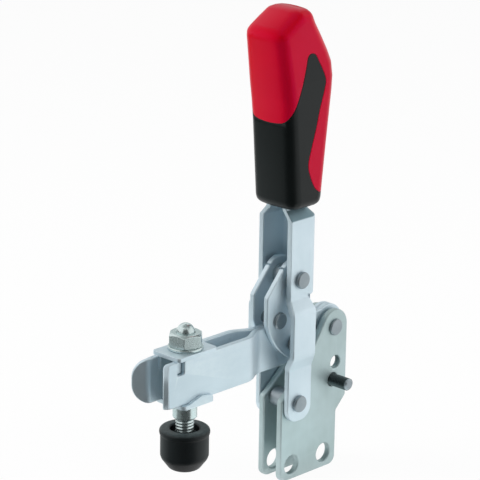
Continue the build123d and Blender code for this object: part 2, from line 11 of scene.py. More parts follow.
import bmesh
import bpy
from mathutils import Matrix, Vector

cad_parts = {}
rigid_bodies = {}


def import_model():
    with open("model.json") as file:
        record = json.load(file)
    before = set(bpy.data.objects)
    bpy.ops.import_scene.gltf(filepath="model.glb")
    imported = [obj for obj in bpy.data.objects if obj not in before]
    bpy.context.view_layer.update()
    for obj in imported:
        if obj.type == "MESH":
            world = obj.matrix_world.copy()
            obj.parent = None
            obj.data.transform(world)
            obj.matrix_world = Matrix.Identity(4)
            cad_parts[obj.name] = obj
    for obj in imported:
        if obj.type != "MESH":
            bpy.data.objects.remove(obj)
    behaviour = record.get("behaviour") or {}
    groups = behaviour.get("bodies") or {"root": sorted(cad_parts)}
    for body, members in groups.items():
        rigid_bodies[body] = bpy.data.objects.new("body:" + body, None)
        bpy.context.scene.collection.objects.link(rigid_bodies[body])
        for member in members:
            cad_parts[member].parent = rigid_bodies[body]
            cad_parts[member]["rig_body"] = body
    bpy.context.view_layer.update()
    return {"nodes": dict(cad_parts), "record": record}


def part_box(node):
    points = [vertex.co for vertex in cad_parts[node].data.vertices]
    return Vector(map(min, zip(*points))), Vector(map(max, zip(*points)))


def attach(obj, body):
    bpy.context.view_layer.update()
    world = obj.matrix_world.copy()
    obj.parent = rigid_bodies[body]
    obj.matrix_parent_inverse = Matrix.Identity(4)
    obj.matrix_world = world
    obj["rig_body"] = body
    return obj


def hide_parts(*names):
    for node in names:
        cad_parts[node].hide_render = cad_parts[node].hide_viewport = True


bl_info = {
    "name": "Vertical Toggle Clamp",
    "version": (1, 0, 0),
    "blender": (4, 5, 0),
    "location": "3D View > Sidebar > Clamp",
    "description": "Builds the clamp's detailed pieces, finishes and studio stage",
    "category": "Object",
}

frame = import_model()
MM = 0.001

# Places that the detailed pieces share with the frame, in mm: X, or X and Z
SPINDLE_X = -52.7
STOP_PIN = (11.6, 25.1)
FLOOR_Z = -5.2


# ------------------------------------------------------------------ settings
class ClampSizes(bpy.types.PropertyGroup):
    """Sizes of the clamp's finishing work"""

    sheet_edge: bpy.props.FloatProperty(
        name="Sheet edge",
        description="Radius on the cut edges of the steel sheet",
        default=0.45 * MM,
        min=0.05 * MM,
        max=0.8 * MM,
        precision=5,
        unit="LENGTH",
    )
    turned_edge: bpy.props.FloatProperty(
        name="Turned edge",
        description="Radius on the edges of the nut, washer, collar and rivets",
        default=0.16 * MM,
        min=0.05 * MM,
        max=0.4 * MM,
        precision=5,
        unit="LENGTH",
    )
    spindle_pitch: bpy.props.FloatProperty(
        name="Spindle pitch",
        description="Distance between two turns of the spindle's thread",
        default=1.0 * MM,
        min=0.5 * MM,
        max=1.5 * MM,
        precision=5,
        unit="LENGTH",
    )
    stop_pitch: bpy.props.FloatProperty(
        name="Stop pin pitch",
        description="Distance between two turns of the stop pin's thread",
        default=0.7 * MM,
        min=0.4 * MM,
        max=1.0 * MM,
        precision=5,
        unit="LENGTH",
    )
    grip_corner: bpy.props.FloatProperty(
        name="Grip corner",
        description="Radius of the grip's four upright corners",
        default=3.7 * MM,
        min=1.0 * MM,
        max=5.0 * MM,
        precision=5,
        unit="LENGTH",
    )
    grip_seam: bpy.props.FloatProperty(
        name="Grip seam",
        description="Rounding along the joint between the grip's two plastics",
        default=0.22 * MM,
        min=0.05 * MM,
        max=0.5 * MM,
        precision=5,
        unit="LENGTH",
    )


class ClampColours(bpy.types.PropertyGroup):
    """Colours of the clamp's finishes"""

    zinc: bpy.props.FloatVectorProperty(
        name="Zinc plating",
        description="Colour of the plated steel sheet",
        default=(0.68, 0.795, 0.86),
        size=3,
        min=0.0,
        max=1.0,
        subtype="COLOR",
    )
    zinc_cloud: bpy.props.FloatVectorProperty(
        name="Zinc clouding",
        description="Colour that the plating drifts towards in patches",
        default=(0.61, 0.73, 0.79),
        size=3,
        min=0.0,
        max=1.0,
        subtype="COLOR",
    )
    # Painted shade: the base plates get the sheet's plating darkened and greened, as the shade low
    # by the floor
    base_zinc_shaded: bpy.props.FloatVectorProperty(
        name="Base plating",
        description="Colour of the base plates' plating",
        default=(0.50, 0.62, 0.635),
        size=3,
        min=0.0,
        max=1.0,
        subtype="COLOR",
    )
    rivet: bpy.props.FloatVectorProperty(
        name="Rivet steel",
        description="Colour of the rivets and the stop pin's ends",
        default=(0.34, 0.39, 0.42),
        size=3,
        min=0.0,
        max=1.0,
        subtype="COLOR",
    )
    stop_thread: bpy.props.FloatVectorProperty(
        name="Stop pin thread",
        description="Colour of the stop pin's oiled thread",
        default=(0.085, 0.115, 0.12),
        size=3,
        min=0.0,
        max=1.0,
        subtype="COLOR",
    )
    nut: bpy.props.FloatVectorProperty(
        name="Nut plating",
        description="Colour of the nut, washer, collar and spindle",
        default=(0.66, 0.76, 0.765),
        size=3,
        min=0.0,
        max=1.0,
        subtype="COLOR",
    )
    rubber: bpy.props.FloatVectorProperty(
        name="Cap rubber",
        description="Colour of the pressure cap",
        default=(0.006, 0.009, 0.010),
        size=3,
        min=0.0,
        max=1.0,
        subtype="COLOR",
    )
    grip_red: bpy.props.FloatVectorProperty(
        name="Grip red",
        description="Colour of the grip's hard body",
        default=(0.50, 0.001, 0.004),
        size=3,
        min=0.0,
        max=1.0,
        subtype="COLOR",
    )
    grip_black: bpy.props.FloatVectorProperty(
        name="Grip black",
        description="Colour of the grip's soft zone",
        default=(0.003, 0.005, 0.005),
        size=3,
        min=0.0,
        max=1.0,
        subtype="COLOR",
    )
    floor: bpy.props.FloatVectorProperty(
        name="Floor",
        description="Colour of the studio floor",
        default=(0.92, 0.92, 0.92),
        size=3,
        min=0.0,
        max=1.0,
        subtype="COLOR",
    )


# ------------------------------------------------------------------ selecting and modelling
def clear_selection():
    """Leaves nothing selected and no object in edit mode."""
    if bpy.context.object and bpy.context.object.mode != "OBJECT":
        bpy.ops.object.mode_set(mode="OBJECT")
    bpy.ops.object.select_all(action="DESELECT")


def only(piece):
    """Makes this the only selected object, and the active one."""
    clear_selection()
    bpy.context.view_layer.objects.active = piece
    piece.select_set(True)


def select_where(kind, test):
    """Selects in edit mode the VERT or FACE items that pass the test."""
    bpy.ops.mesh.select_mode(type=kind)
    bpy.ops.mesh.select_all(action="DESELECT")
    mesh = bmesh.from_edit_mesh(bpy.context.object.data)
    for item in {"VERT": mesh.verts, "FACE": mesh.faces}[kind]:
        if test(item):
            item.select = True
    mesh.select_flush_mode()
    bmesh.update_edit_mesh(bpy.context.object.data)


def draw_line(name, points, closed=False):
    """A new object whose vertices are extruded one after another through the points, in mm."""
    places = [Vector(p) * MM for p in points]
    clear_selection()
    bpy.ops.mesh.primitive_plane_add(size=MM, location=places[0])
    piece = bpy.context.object
    piece.name = name
    piece.data.name = name
    bpy.ops.object.transform_apply(location=True, rotation=True, scale=True)
    bpy.ops.object.mode_set(mode="EDIT")
    bpy.ops.mesh.select_mode(type="VERT")
    bpy.ops.mesh.select_all(action="SELECT")
    bpy.ops.mesh.merge(type="CENTER")
    for here, there in zip(places, places[1:]):
        bpy.ops.mesh.extrude_vertices_move(TRANSFORM_OT_translate={"value": there - here})
    if closed:
        bpy.ops.mesh.select_all(action="SELECT")
        bpy.ops.mesh.edge_face_add()
    bpy.ops.object.mode_set(mode="OBJECT")
    return piece


def turn(piece, centre, axis, steps):
    """Spins a drawn line round an axis into a closed turned form with outward normals."""
    only(piece)
    bpy.ops.object.mode_set(mode="EDIT")
    bpy.ops.mesh.select_all(action="SELECT")
    bpy.ops.mesh.spin(
        steps=steps, angle=math.tau, center=Vector(centre) * MM, axis=axis, dupli=False
    )
    tidy_shell()
    bpy.ops.object.mode_set(mode="OBJECT")
    return piece


def turn_upright(name, outline, steps):
    """A form turned round the spindle's axis from (radius, height) points, in mm."""
    line = draw_line(name, [(SPINDLE_X + radius, 0, height) for radius, height in outline])
    return turn(line, (SPINDLE_X, 0, 0), (0, 0, 1), steps)


def tidy_shell():
    """In edit mode: merges doubles and turns the faces outwards."""
    bpy.ops.mesh.select_all(action="SELECT")
    bpy.ops.mesh.remove_doubles(threshold=0.002 * MM)
    bpy.ops.mesh.select_all(action="SELECT")
    bpy.ops.mesh.normals_make_consistent(inside=False)


def apply_modifier(piece, kind, **values):
    """Adds one modifier with these values to the piece and applies it."""
    only(piece)
    modifier = piece.modifiers.new(kind.title(), kind)
    for key, value in values.items():
        setattr(modifier, key, value)
    bpy.ops.object.modifier_apply(modifier=modifier.name)


def round_edges(piece, width, segments=3, angle=32, clamp=False):
    """Rounds every edge that is sharper than the angle and keeps the flats flat."""
    apply_modifier(
        piece,
        "BEVEL",
        width=width,
        segments=segments,
        limit_method="ANGLE",
        angle_limit=math.radians(angle),
        use_clamp_overlap=clamp,
        miter_outer="MITER_ARC",
    )


def smooth(piece, angle=40):
    """Smooth shading up to the angle, weighted so that large flats stay even."""
    only(piece)
    bpy.ops.object.shade_smooth_by_angle(angle=math.radians(angle))
    apply_modifier(piece, "WEIGHTED_NORMAL", weight=80, keep_sharp=True)


def node_copy(part, name):
    """A merged copy of a frame node's mesh as an object of its own, with whole flat faces."""
    mesh = frame["nodes"][part].data.copy()
    mesh.materials.clear()
    mesh.name = name
    piece = bpy.data.objects.new(name, mesh)
    bpy.context.scene.collection.objects.link(piece)
    only(piece)
    if mesh.has_custom_normals:
        bpy.ops.mesh.customdata_custom_splitnormals_clear()
    bpy.ops.object.mode_set(mode="EDIT")
    bpy.ops.mesh.select_all(action="SELECT")
    bpy.ops.mesh.remove_doubles(threshold=0.0005 * MM)
    bpy.ops.mesh.select_all(action="SELECT")
    bpy.ops.mesh.mark_sharp(clear=True)
    bpy.ops.mesh.dissolve_limited(angle_limit=math.radians(0.4))
    bpy.ops.object.mode_set(mode="OBJECT")
    return piece


def refine(part, name, body, slot, look, width, **bevel):
    """Stands in for a frame node with a copy that has rounded edges and a finish."""
    piece = node_copy(part, name)
    round_edges(piece, width, **bevel)
    smooth(piece)
    settle(piece, body, slot, finish(look), part)


def join(pieces, name):
    """Joins the pieces into the first one."""
    only(pieces[0])
    for piece in pieces[1:]:
        piece.select_set(True)
    bpy.ops.object.join()
    pieces[0].name = name
    pieces[0].data.name = name
    return pieces[0]


def settle(piece, body, slot, material, *nodes):
    """Gives the piece its finish and its body, and hides the frame nodes that it stands for."""
    piece.data.materials.clear()
    piece.data.materials.append(material)
    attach(piece, body)
    if nodes:
        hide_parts(*nodes)


# ------------------------------------------------------------------ shared effects
def new_group(name, inputs, outputs):
    """A shader node group with these sockets, its input node and its output node."""
    tree = bpy.data.node_groups.new(name, "ShaderNodeTree")
    for label, kind, value in inputs:
        socket = tree.interface.new_socket(name=label, in_out="INPUT", socket_type=kind)
        socket.default_value = value
    for label, kind in outputs:
        tree.interface.new_socket(name=label, in_out="OUTPUT", socket_type=kind)
    entry = tree.nodes.new("NodeGroupInput")
    entry.location = (-900, 0)
    exit_node = tree.nodes.new("NodeGroupOutput")
    exit_node.location = (700, 0)
    return tree, entry, exit_node


def node(tree, kind, x, y, **values):
    """A node at this place, with these attributes set."""
    made = tree.nodes.new(kind)
    made.location = (x, y)
    for key, value in values.items():
        setattr(made, key, value)
    return made


def ramp_value(tree, x, y, source, low, high, to_low, to_high):
    """Maps a value's range to another one, held at its ends."""
    made = node(tree, "ShaderNodeMapRange", x, y, clamp=True)
    tree.links.new(source, made.inputs["Value"])
    for label, number in (
        ("From Min", low),
        ("From Max", high),
        ("To Min", to_low),
        ("To Max", to_high),
    ):
        made.inputs[label].default_value = number
    return made.outputs["Result"]


def mix_colours(tree, x, y, factor, first, second):
    """Mixes two colour sockets by a factor socket."""
    made = node(tree, "ShaderNodeMix", x, y, data_type="RGBA")
    tree.links.new(factor, made.inputs[0])
    tree.links.new(first, made.inputs[6])
    tree.links.new(second, made.inputs[7])
    return made.outputs[2]


def maths(tree, x, y, operation, first, second):
    """One maths step on two sockets or numbers."""
    made = node(tree, "ShaderNodeMath", x, y, operation=operation)
    for place, value in enumerate((first, second)):
        if isinstance(value, (int, float)):
            made.inputs[place].default_value = value
        else:
            tree.links.new(value, made.inputs[place])
    return made.outputs[0]


def noise(tree, x, y, vector, scale, detail, roughness):
    """Noise on a vector socket; the scale is a number or a socket."""
    made = node(tree, "ShaderNodeTexNoise", x, y)
    made.inputs["Detail"].default_value = detail
    made.inputs["Roughness"].default_value = roughness
    tree.links.new(vector, made.inputs["Vector"])
    if isinstance(scale, (int, float)):
        made.inputs["Scale"].default_value = scale
    else:
        tree.links.new(scale, made.inputs["Scale"])
    return made.outputs["Fac"]


def lay_over(tree, entry, exit_node, share, second, label):
    """Ends a group: its colour drifts to the second one by the share, and both are handed out."""
    colour = mix_colours(tree, 300, 0, share, entry.outputs["Colour"], entry.outputs[second])
    tree.links.new(colour, exit_node.inputs["Colour"])
    tree.links.new(share, exit_node.inputs[label])


def plating_clouds():
    """Group: soft patches in which a plated or moulded colour drifts to a second one."""
    tree, entry, exit_node = new_group(
        "Plating Clouds",
        (
            ("Colour", "NodeSocketColor", (0.6, 0.7, 0.75, 1)),
            ("Second Colour", "NodeSocketColor", (0.5, 0.6, 0.65, 1)),
            ("Scale", "NodeSocketFloat", 60.0),
            ("Amount", "NodeSocketFloat", 0.5),
        ),
        (("Colour", "NodeSocketColor"), ("Clouds", "NodeSocketFloat")),
    )
    place = node(tree, "ShaderNodeTexCoord", -900, -250).outputs["Object"]
    patches = noise(tree, -650, -150, place, entry.outputs["Scale"], 3.0, 0.55)
    clouds = ramp_value(tree, -400, -150, patches, 0.36, 0.64, 0.0, 1.0)
    share = maths(tree, -150, -150, "MULTIPLY", clouds, entry.outputs["Amount"])
    colour = mix_colours(
        tree, 100, 0, share, entry.outputs["Colour"], entry.outputs["Second Colour"]
    )
    tree.links.new(colour, exit_node.inputs["Colour"])
    tree.links.new(clouds, exit_node.inputs["Clouds"])
    return tree


def rolled_grain():
    """Group: fine lines left in steel by rolling or turning, drawn out along one direction."""
    tree, entry, exit_node = new_group(
        "Rolled Grain",
        (
            ("Scale", "NodeSocketFloat", 900.0),
            ("Stretch", "NodeSocketVector", (1.0, 1.0, 0.06)),
        ),
        (("Grain", "NodeSocketFloat"), ("Scratches", "NodeSocketFloat")),
    )
    place = node(tree, "ShaderNodeTexCoord", -900, -250).outputs["Object"]
    drawn = node(tree, "ShaderNodeVectorMath", -650, -150, operation="MULTIPLY")
    tree.links.new(place, drawn.inputs[0])
    tree.links.new(entry.outputs["Stretch"], drawn.inputs[1])
    grain = noise(tree, -400, 0, drawn.outputs[0], entry.outputs["Scale"], 3.0, 0.65)
    coarse = maths(tree, -650, -350, "MULTIPLY", entry.outputs["Scale"], 0.31)
    lines = noise(tree, -400, -250, drawn.outputs[0], coarse, 1.0, 0.5)
    scratches = ramp_value(tree, -150, -250, lines, 0.66, 0.78, 0.0, 1.0)
    tree.links.new(grain, exit_node.inputs["Grain"])
    tree.links.new(scratches, exit_node.inputs["Scratches"])
    return tree


def moulded_texture():
    """Group: the fine pebbled skin of moulded plastic and rubber, and its faint flow marks."""
    tree, entry, exit_node = new_group(
        "Moulded Texture",
        (("Scale", "NodeSocketFloat", 2200.0), ("Flow Scale", "NodeSocketFloat", 70.0)),
        (("Pebble", "NodeSocketFloat"), ("Flow", "NodeSocketFloat")),
    )
    place = node(tree, "ShaderNodeTexCoord", -900, -250).outputs["Object"]
    cells = node(tree, "ShaderNodeTexVoronoi", -400, 0, feature="SMOOTH_F1")
    tree.links.new(place, cells.inputs["Vector"])
    tree.links.new(entry.outputs["Scale"], cells.inputs["Scale"])
    flow = noise(tree, -400, -300, place, entry.outputs["Flow Scale"], 2.0, 0.5)
    tree.links.new(cells.outputs["Distance"], exit_node.inputs["Pebble"])
    tree.links.new(flow, exit_node.inputs["Flow"])
    return tree


def edge_wear():
    """Group: edges rubbed to another colour, broken up by noise."""
    tree, entry, exit_node = new_group(
        "Edge Wear",
        (
            ("Colour", "NodeSocketColor", (0.6, 0.7, 0.75, 1)),
            ("Worn Colour", "NodeSocketColor", (0.8, 0.85, 0.88, 1)),
            ("Amount", "NodeSocketFloat", 0.5),
            ("Scale", "NodeSocketFloat", 400.0),
        ),
        (("Colour", "NodeSocketColor"), ("Wear", "NodeSocketFloat")),
    )
    pointed = node(tree, "ShaderNodeNewGeometry", -900, -250).outputs["Pointiness"]
    place = node(tree, "ShaderNodeTexCoord", -900, -500).outputs["Object"]
    edges = ramp_value(tree, -650, -150, pointed, 0.52, 0.62, 0.0, 1.0)
    breaks = noise(tree, -650, -450, place, entry.outputs["Scale"], 2.0, 0.6)
    patchy = ramp_value(tree, -400, -450, breaks, 0.35, 0.6, 0.25, 1.0)
    mask = maths(tree, -150, -250, "MULTIPLY", edges, patchy)
    share = maths(tree, 50, -250, "MULTIPLY", mask, entry.outputs["Amount"])
    lay_over(tree, entry, exit_node, share, "Worn Colour", "Wear")
    return tree


def dust_and_sheen():
    """Group: a trace of dust and a painted sheen, a lighter colour on what faces up."""
    tree, entry, exit_node = new_group(
        "Dust And Sheen",
        (
            ("Colour", "NodeSocketColor", (0.1, 0.1, 0.1, 1)),
            ("Dust Colour", "NodeSocketColor", (0.4, 0.4, 0.38, 1)),
            ("Amount", "NodeSocketFloat", 0.1),
        ),
        (("Colour", "NodeSocketColor"), ("Dust Sheen", "NodeSocketFloat")),
    )
    facing = node(tree, "ShaderNodeNewGeometry", -900, -250)
    parts = node(tree, "ShaderNodeSeparateXYZ", -700, -250)
    tree.links.new(facing.outputs["Normal"], parts.inputs[0])
    place = node(tree, "ShaderNodeTexCoord", -900, -500).outputs["Object"]
    upward = ramp_value(tree, -450, -250, parts.outputs["Z"], 0.35, 0.95, 0.0, 1.0)
    specks = noise(tree, -450, -500, place, 700.0, 4.0, 0.7)
    mask = maths(tree, -200, -300, "MULTIPLY", upward, specks)
    share = maths(tree, 50, -300, "MULTIPLY", mask, entry.outputs["Amount"])
    lay_over(tree, entry, exit_node, share, "Dust Colour", "Dust Sheen")
    return tree


def painted_grip_shade():
    """Group: painted shade, a darker colour on what faces up between two heights of the piece."""
    tree, entry, exit_node = new_group(
        "Painted Grip Shade",
        (
            ("Colour", "NodeSocketColor", (0.6, 0.7, 0.75, 1)),
            ("Film Colour", "NodeSocketColor", (0.1, 0.15, 0.17, 1)),
            ("Low", "NodeSocketFloat", 0.0),
            ("High", "NodeSocketFloat", 1.0),
        ),
        (("Colour", "NodeSocketColor"), ("Shade", "NodeSocketFloat")),
    )
    own = node(tree, "ShaderNodeTexCoord", -900, -400)
    parts = node(tree, "ShaderNodeSeparateXYZ", -700, -250)
    tree.links.new(own.outputs["Normal"], parts.inputs[0])
    heights = node(tree, "ShaderNodeSeparateXYZ", -700, -500)
    tree.links.new(own.outputs["Object"], heights.inputs[0])
    above = maths(tree, -500, -450, "GREATER_THAN", heights.outputs["Z"], entry.outputs["Low"])
    below = maths(tree, -500, -600, "LESS_THAN", heights.outputs["Z"], entry.outputs["High"])
    between = maths(tree, -300, -500, "MULTIPLY", above, below)
    upward = ramp_value(tree, -450, -250, parts.outputs["Z"], 0.3, 0.55, 0.0, 0.9)
    share = maths(tree, 0, -300, "MULTIPLY", upward, between)
    lay_over(tree, entry, exit_node, share, "Film Colour", "Shade")
    return tree


GROUPS = {
    "Plating Clouds": plating_clouds,
    "Rolled Grain": rolled_grain,
    "Moulded Texture": moulded_texture,
    "Edge Wear": edge_wear,
    "Dust And Sheen": dust_and_sheen,
    "Painted Grip Shade": painted_grip_shade,
}


def effect(tree, name, x, y, **values):
    """Places a shared effect in a material with values of its own."""
    group = bpy.data.node_groups.get(name) or GROUPS[name]()
    made = tree.nodes.new("ShaderNodeGroup")
    made.node_tree = group
    made.location = (x, y)
    for key, value in values.items():
        made.inputs[key.replace("_", " ")].default_value = value
    return made


# ------------------------------------------------------------------ finishes
# Painted shade on the handle's shoulders, just under the grip, and the heights it lies between
GRIP_SHADE_COLOUR = (0.16, 0.26, 0.30, 1)
GRIP_SHADE_LOW, GRIP_SHADE_HIGH = 84.2, 92.0
# Grain of the steel: how noise is drawn out along X, Y and Z
GRAIN_UPRIGHT, GRAIN_LENGTHWISE = (1.0, 1.0, 0.07), (0.07, 1.0, 1.0)
GRAIN_TURNED, GRAIN_EVEN = (1.0, 1.0, 0.35), (1.0, 1.0, 1.0)


def blank_finish(name, **values):
    """A new material, its Principled shader with these sockets set, and its tree."""
    material = bpy.data.materials.new(name)
    material.use_nodes = True
    tree = material.node_tree
    shader = tree.nodes["Principled BSDF"]
    shader.location = (600, 0)
    tree.nodes["Material Output"].location = (900, 0)
    for key, value in values.items():
        shader.inputs[key.replace("_", " ")].default_value = value
    return material, tree, shader


def bump(tree, shader, height, strength, distance):
    """Feeds a height into the shader's normal."""
    made = node(tree, "ShaderNodeBump", 350, -400)
    made.inputs["Strength"].default_value = strength
    made.inputs["Distance"].default_value = distance
    tree.links.new(height, made.inputs["Height"])
    tree.links.new(made.outputs["Normal"], shader.inputs["Normal"])


def metal_finish(
    name, colour, cloud, worn, rough, stretch, grain=1400.0, depth=0.15, metallic=0.78,
    clouds_at=55.0,
):
    """Steel with clouded plating, drawn grain, edges rubbed bright, and painted shade under the
    grip.
    """
    material, tree, shader = blank_finish(name, Metallic=metallic)
    clouds = effect(
        tree,
        "Plating Clouds",
        -500,
        200,
        Colour=(*colour, 1),
        Second_Colour=(*cloud, 1),
        Scale=clouds_at,
        Amount=0.65,
    )
    wear = effect(tree, "Edge Wear", -200, 200, Worn_Colour=(*worn, 1), Amount=0.55, Scale=380.0)
    # Painted shade: what faces up just under the grip is darkened where the grip's shade falls
    painted_overlay = effect(
        tree,
        "Painted Grip Shade",
        200,
        200,
        Film_Colour=GRIP_SHADE_COLOUR,
        Low=GRIP_SHADE_LOW * MM,
        High=GRIP_SHADE_HIGH * MM,
    )
    lines = effect(tree, "Rolled Grain", -500, -200, Scale=grain, Stretch=stretch)
    tree.links.new(clouds.outputs["Colour"], wear.inputs["Colour"])
    tree.links.new(wear.outputs["Colour"], painted_overlay.inputs["Colour"])
    tree.links.new(painted_overlay.outputs["Colour"], shader.inputs["Base Color"])
    base = ramp_value(tree, -200, -100, lines.outputs["Grain"], 0.3, 0.7, rough[0], rough[1])
    drift = maths(tree, 0, -250, "MULTIPLY", clouds.outputs["Clouds"], 0.06)
    marks = maths(tree, 0, -400, "MULTIPLY", lines.outputs["Scratches"], 0.05)
    total = maths(tree, 200, -150, "ADD", base, maths(tree, 100, -300, "ADD", drift, marks))
    tree.links.new(total, shader.inputs["Roughness"])
    if depth:
        bump(tree, shader, lines.outputs["Grain"], depth, 0.01 * MM)
    return material


def plastic_finish(name, colour, second, rough, pebble, depth, dust_sheen_colour, dust_sheen_amount=0.03, **values):
    """Moulded plastic or rubber with a pebbled skin, dust and painted sheen on what faces up, and
    these shader values.
    """
    material, tree, shader = blank_finish(name, **values)
    clouds = effect(
        tree,
        "Plating Clouds",
        -500,
        200,
        Colour=(*colour, 1),
        Second_Colour=(*second, 1),
        Scale=90.0,
        Amount=0.5,
    )
    # Dust and painted sheen: what faces up drifts to a lighter colour
    painted_overlay = effect(tree, "Dust And Sheen", -200, 200, Dust_Colour=(*dust_sheen_colour, 1), Amount=dust_sheen_amount)
    skin = effect(tree, "Moulded Texture", -500, -200, Scale=pebble, Flow_Scale=80.0)
    tree.links.new(clouds.outputs["Colour"], painted_overlay.inputs["Colour"])
    tree.links.new(painted_overlay.outputs["Colour"], shader.inputs["Base Color"])
    total = ramp_value(tree, 0, -150, skin.outputs["Flow"], 0.3, 0.7, rough[0], rough[1])
    tree.links.new(total, shader.inputs["Roughness"])
    bump(tree, shader, skin.outputs["Pebble"], depth, 0.03 * MM)
    return material


def zinc_plate_finish(tint):
    """Plated sheet of the links and the handle, with its grain upright."""
    return metal_finish(
        "zinc_plate",
        tint.zinc,
        cloud=tint.zinc_cloud,
        worn=(0.76, 0.86, 0.90),
        rough=(0.42, 0.50),
        stretch=GRAIN_UPRIGHT,
    )


def base_zinc_shaded_finish(tint):
    """The base plates' plating: the same plating as the rest of the sheet, painted a little darker
    and greener as shade.
    """
    return metal_finish(
        "base_zinc_shaded",
        tint.base_zinc_shaded,
        cloud=(0.40, 0.50, 0.50),
        worn=(0.62, 0.72, 0.73),
        rough=(0.42, 0.50),
        stretch=GRAIN_UPRIGHT,
    )


def zinc_arm_finish(tint):
    """Plated sheet of the arm, with its grain lengthwise."""
    return metal_finish(
        "zinc_arm",
        tint.zinc,
        cloud=tint.zinc_cloud,
        worn=(0.76, 0.86, 0.90),
        rough=(0.42, 0.50),
        stretch=GRAIN_LENGTHWISE,
    )


def rivet_finish(tint):
    """Bare formed steel of the rivets, bushes and the stop pin's ends."""
    return metal_finish(
        "rivet_steel",
        tint.rivet,
        cloud=(0.28, 0.33, 0.36),
        worn=(0.52, 0.60, 0.64),
        rough=(0.32, 0.42),
        stretch=GRAIN_EVEN,
        grain=1800.0,
        metallic=0.9,
        clouds_at=160.0,
    )


def dark_thread_finish(tint):
    """Dark oiled steel of the stop pin's thread."""
    return metal_finish(
        "dark_thread",
        tint.stop_thread,
        cloud=(0.06, 0.08, 0.085),
        worn=(0.24, 0.29, 0.30),
        rough=(0.34, 0.44),
        stretch=GRAIN_EVEN,
        grain=1800.0,
        depth=0.1,
        metallic=1.0,
        clouds_at=160.0,
    )


def nut_finish(tint):
    """Bright plating of the nut, washer, collar and spindle."""
    return metal_finish(
        "nut_plating",
        tint.nut,
        cloud=(0.56, 0.66, 0.65),
        worn=(0.72, 0.82, 0.82),
        rough=(0.21, 0.25),
        stretch=GRAIN_TURNED,
        grain=1600.0,
        depth=0.0,
        metallic=0.92,
        clouds_at=120.0,
    )


def rubber_finish(tint):
    """Matt black rubber of the pressure cap."""
    return plastic_finish(
        "matt_rubber",
        tint.rubber,
        second=(0.005, 0.008, 0.009),
        rough=(0.42, 0.50),
        pebble=2600.0,
        depth=0.2,
        # A large share: the cap's top is painted lighter as its sheen, with a little dust
        dust_sheen_colour=(0.10, 0.13, 0.135),
        dust_sheen_amount=0.8,
        Specular_IOR_Level=0.3,
    )


def red_finish(tint):
    """Satin red of the grip's hard body."""
    return plastic_finish(
        "grip_red_plastic",
        tint.grip_red,
        second=(0.46, 0.001, 0.003),
        rough=(0.30, 0.38),
        pebble=2400.0,
        depth=0.1,
        dust_sheen_colour=(0.60, 0.10, 0.12),
        Specular_IOR_Level=0.35,
        Specular_Tint=(0.8, 0.05, 1.0, 1.0),
    )


def black_finish(tint):
    """Soft-touch black of the grip's gripping zone."""
    return plastic_finish(
        "grip_black_plastic",
        tint.grip_black,
        second=(0.003, 0.005, 0.005),
        rough=(0.34, 0.42),
        pebble=2000.0,
        depth=0.18,
        dust_sheen_colour=(0.05, 0.05, 0.06),
        Specular_IOR_Level=0.26,
    )


FINISHES = {
    "zinc_plate": zinc_plate_finish,
    "base_zinc_shaded": base_zinc_shaded_finish,
    "zinc_arm": zinc_arm_finish,
    "rivet_steel": rivet_finish,
    "dark_thread": dark_thread_finish,
    "nut_plating": nut_finish,
    "matt_rubber": rubber_finish,
    "grip_red_plastic": red_finish,
    "grip_black_plastic": black_finish,
}


def finish(name):
    """The named finish, made the first time that it is asked for."""
    return bpy.data.materials.get(name) or FINISHES[name](bpy.context.scene.clamp_colours)


# ------------------------------------------------------------------ threads
def thread(name, along, start, length, crest, pitch, depth, steps):
    """A closed threaded rod along an axis from its start point, in mm.

    One groove, its depth given as a share of the pitch, is drawn and wound by a Screw
    modifier. Then both ends are cut square and filled.
    """
    root = crest - depth * pitch
    axis = {"Y": Vector((0, 1, 0)), "Z": Vector((0, 0, 1))}[along]
    outline = (
        (root, 0.0),
        (root, 0.125 * pitch),
        (crest - 0.02, 0.44 * pitch),
        (crest, 0.5 * pitch),
        (crest, 0.56 * pitch),
        (crest - 0.02, 0.62 * pitch),
        (root, pitch),
    )
    piece = draw_line(name, [Vector((r, 0, 0)) + axis * h for r, h in outline])
    turns = int(math.ceil(length / pitch)) + 3
    apply_modifier(
        piece,
        "SCREW",
        axis=along,
        angle=math.tau,
        screw_offset=pitch * MM,
        iterations=turns,
        steps=steps,
        render_steps=steps,
        use_merge_vertices=True,
        merge_threshold=0.002 * MM,
    )
    only(piece)
    piece.location = (Vector(start) - axis * pitch * 1.5) * MM
    bpy.ops.object.transform_apply(location=True, rotation=True, scale=True)
    bpy.ops.object.mode_set(mode="EDIT")
    for place, facing in ((0.0, -axis), (length, axis)):
        bpy.ops.mesh.select_all(action="SELECT")
        bpy.ops.mesh.bisect(
            plane_co=(Vector(start) + axis * place) * MM,
            plane_no=facing,
            use_fill=True,
            clear_outer=True,
            threshold=0.00001 * MM,
        )
    tidy_shell()
    bpy.ops.object.mode_set(mode="OBJECT")
    return piece


# ------------------------------------------------------------------ grip
# Front and rear outline of the grip, as (X, Z) of one section after another, in mm
GRIP_FRONT = (
    (-14.65, 89.0),
    (-15.2, 96.0),
    (-15.75, 102.9),
    (-16.25, 110.0),
    (-16.8, 117.0),
    (-17.6, 124.0),
    (-18.6, 130.5),
    (-19.6, 136.8),
    (-20.55, 142.6),
    (-21.5, 147.8),
    (-15.4, 151.75),
    (-10.9, 154.5),
)
GRIP_REAR = (
    (1, 89.0),
    (1.9, 98.0),
    (2.7, 106.0),
    (3.6, 114.0),
    (4.5, 121.3),
    (5.2, 127.0),
    (5.45, 131.4),
    (4.85, 136.2),
    (2.9, 140.4),
    (0.2, 145.2),
    (-2.5, 149.9),
    (-4.2, 154.0),
)
# Half the width, and how much narrower it gets from one height to the other
GRIP_HALF, GRIP_TAPER, TAPER_LOW, TAPER_HIGH = 9.4, 1.1, 131, 156
